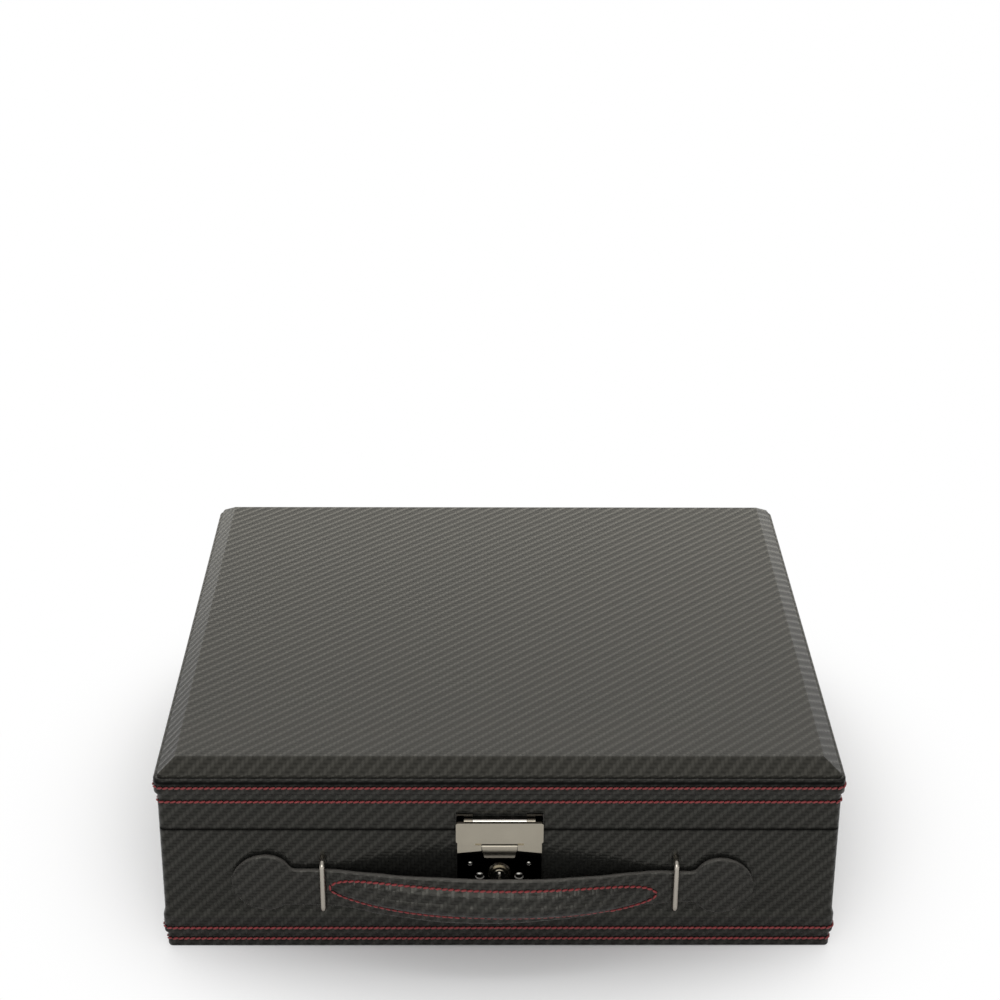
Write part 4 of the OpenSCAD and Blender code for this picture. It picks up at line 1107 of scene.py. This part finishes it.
low = Vector([min(p.co[i] for p in bag.data.vertices) for i in range(3)])
high = Vector([max(p.co[i] for p in bag.data.vertices) for i in range(3)])
middle, size = (low + high) / 2, high - low
cushion_points = [
    Vector([(p.co[i] - middle[i]) / size[i] * pillow_size[i] for i in range(3)])
    for p in bag.data.vertices
]
cushion_faces = [list(face.vertices) for face in bag.data.polygons]
bpy.data.objects.remove(bag)
print("cushion has", len(cushion_faces), "faces")

# %% [markdown]
# A corded seam runs round both ends of each cushion, where the end panel is sewn to the cover.
# Its line is where a flat plane cuts the cushion, so it follows every bulge.

# %% Draw the corded seams
CORD_RADIUS, CORD_SIDES = 0.8 * MM, 6


def seam_line(points, faces, level):
    """The ring of points where the plane y = level cuts a closed skin."""
    shape = bmesh.new()
    made = [shape.verts.new(p) for p in points]
    for face in faces:
        shape.faces.new([made[i] for i in face])
    cut_there = bmesh.ops.bisect_plane(
        shape, geom=shape.verts[:] + shape.edges[:] + shape.faces[:],
        plane_co=(0, level, 0), plane_no=(0, 1, 0),
    )["geom_cut"]
    ring = [p.co.copy() for p in cut_there if isinstance(p, bmesh.types.BMVert)]
    shape.free()
    ring.sort(key=lambda p: math.atan2(p.z, p.x))
    return ring


def cord(line):
    """A closed tube along a ring of points."""
    count = len(line)
    points, faces = [], []
    for i, point in enumerate(line):
        along = (line[(i + 1) % count] - line[i - 1]).normalized()
        up = Vector((0, 1, 0))
        out = up.cross(along).normalized()
        for k in range(CORD_SIDES):
            angle = 2 * math.pi * k / CORD_SIDES
            points.append(point + (out * math.cos(angle) + up * math.sin(angle)) * CORD_RADIUS)
    for i in range(count):
        a, b = i * CORD_SIDES, (i + 1) % count * CORD_SIDES
        for k in range(CORD_SIDES):
            j = (k + 1) % CORD_SIDES
            faces.append([a + k, a + j, b + j, b + k])
    return points, faces


print("seams can be drawn")

# %% [markdown]
# Every cushion is a mirrored copy, pushed about by noise and drawn in at its seams, and it keeps
# within the box of the plain cushion that it replaces. `noise_vector` reads its noise at places
# that follow a seed, which is taken from the clock unless it is set. So it is set here, and the
# cushions come out the same in every run.

# %% Place the cushions
KNEAD, SEAM_PINCH, PINCH_WIDTH = 0.7 * MM, 0.9 * MM, 2.2 * MM
noise.seed_set(1)

cushion_skin = finish["cushion_velvet"]
seam_at = pillow_size.y / 2 - 9 * MM
pillow_names = [f"pillow_{row}_{i}" for row in ("back", "middle") for i in range(1, 7)]
for number, name in enumerate(pillow_names):
    low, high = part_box(name)
    centre = (low + high) / 2
    flip_x, flip_y = (1, -1)[number % 2], (1, -1)[number // 2 % 2]
    points = []
    for p in cushion_points:
        p = Vector((p.x * flip_x, p.y * flip_y, p.z))
        push = noise.noise_vector(p * 28 + Vector((number * 7.3, 0, 0)))
        towards = Vector((p.x, 0, p.z)).normalized()
        p = p + push * KNEAD - towards * SEAM_PINCH * bell(abs(p.y), seam_at, PINCH_WIDTH)
        for i in range(3):
            p[i] = max(min(p[i], pillow_size[i] / 2), -pillow_size[i] / 2)
        points.append(p)
    faces = [face if flip_x * flip_y > 0 else face[::-1] for face in cushion_faces]
    all_points, all_faces = list(points), list(faces)
    for level in (-seam_at, seam_at):
        ring, ring_faces = cord(seam_line(points, faces, level))
        first = len(all_points)
        all_points += ring
        all_faces += [[first + i for i in face] for face in ring_faces]
    label = name.replace("pillow", "cushion")
    piece = new_piece(label, [p + centre for p in all_points], all_faces, cushion_skin)
    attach(piece, "base")
    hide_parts(name)
print("cushions placed:", len(pillow_names))

# %% [markdown]
# ## The padded panel in the lid
#
# The lid's panel keeps watches from knocking. It is a thin foam panel in suede: its face swells
# softly between its edges and a sewn line a finger's width inside them. It is drawn as a net of
# points, each sunk or raised by a simple rule, with its edge rolled up to the board.

# %% Make the lid's panel
NET_X, NET_Y = 96, 88
SEWN_IN, SEWN_WIDTH, SEWN_DEPTH = 16 * MM, 1.8 * MM, 1.6 * MM
PANEL_ROUND, PANEL_SWELL = 3.5 * MM, 14 * MM

pad_low, pad_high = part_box("lid_pad")
pad_centre = (pad_low + pad_high) / 2
pad_half = (pad_high - pad_low) / 2


def panel_face(x, y):
    """How far the panel's face hangs below its middle plane."""
    edge = min(pad_half.x - abs(x), pad_half.y - abs(y))
    rolled = roll_over(edge, PANEL_ROUND)
    soft = noise.noise(Vector((x * 22, y * 22, 0))) * 0.35 * MM
    swell = 0.5 + 0.5 * min(abs(edge - SEWN_IN) / PANEL_SWELL, 1) ** 0.5
    face = pad_half.z * (2 * rolled - 1) * (0.75 + 0.25 * swell)
    return face - bell(edge, SEWN_IN, SEWN_WIDTH) * SEWN_DEPTH + soft * rolled


def crowded(i, count):
    """Net lines crowd towards the panel's edges, where its face curves most."""
    t = 2 * i / count - 1
    return math.copysign(1 - (1 - abs(t)) ** 1.5, t)


points, faces = [], []
for j in range(NET_Y + 1):
    for i in range(NET_X + 1):
        x, y = crowded(i, NET_X) * pad_half.x, crowded(j, NET_Y) * pad_half.y
        depth = min(max(panel_face(x, y), -pad_half.z), pad_half.z)
        points.append(Vector((x, y, -depth)) + pad_centre)
for j in range(NET_Y):
    for i in range(NET_X):
        a = j * (NET_X + 1) + i
        faces.append([a, a + NET_X + 1, a + NET_X + 2, a + 1])
border = list(range(NET_X + 1))
border += [j * (NET_X + 1) + NET_X for j in range(1, NET_Y + 1)]
border += [NET_Y * (NET_X + 1) + i for i in range(NET_X - 1, -1, -1)]
border += [j * (NET_X + 1) for j in range(NET_Y - 1, 0, -1)]
faces.append(border)
panel = new_piece("lid_panel", points, faces, cushion_skin)
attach(panel, "lid")
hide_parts("lid_pad")
print("panel has", len(faces), "faces")

# %% [markdown]
# ## Soft edges
#
# No real edge is perfectly sharp, and it is the thin bright or dark line along an edge that
# tells the eye how a thing is made. Wrapped boards turn over a radius of half a millimetre or
# more, pressed metal over a quarter. A Bevel modifier adds these without touching the parts.

# %% Round the edges
EDGE_RADII = {
    "base_cover": 0.7, "lid_cover": 0.7, "lid_top_skin": 0.8,
    "base_lining": 0.5, "lid_lining": 0.5,
    "hasp_flap": 0.28, "hasp_plate": 0.2, "lock_plate": 0.3, "lift_lever": 0.25,
    "key_collar": 0.2, "key_cylinder": 0.15,
}
EDGE_RADII.update({name: 0.7 for name in parts if name.startswith("divider")})
for name, radius in EDGE_RADII.items():
    edges = parts[name].modifiers.new("soft_edges", "BEVEL")
    edges.width = radius * MM
    edges.segments = 3
    edges.limit_method = "ANGLE"
    edges.angle_limit = math.radians(32)
print("edges rounded on", len(EDGE_RADII), "parts")
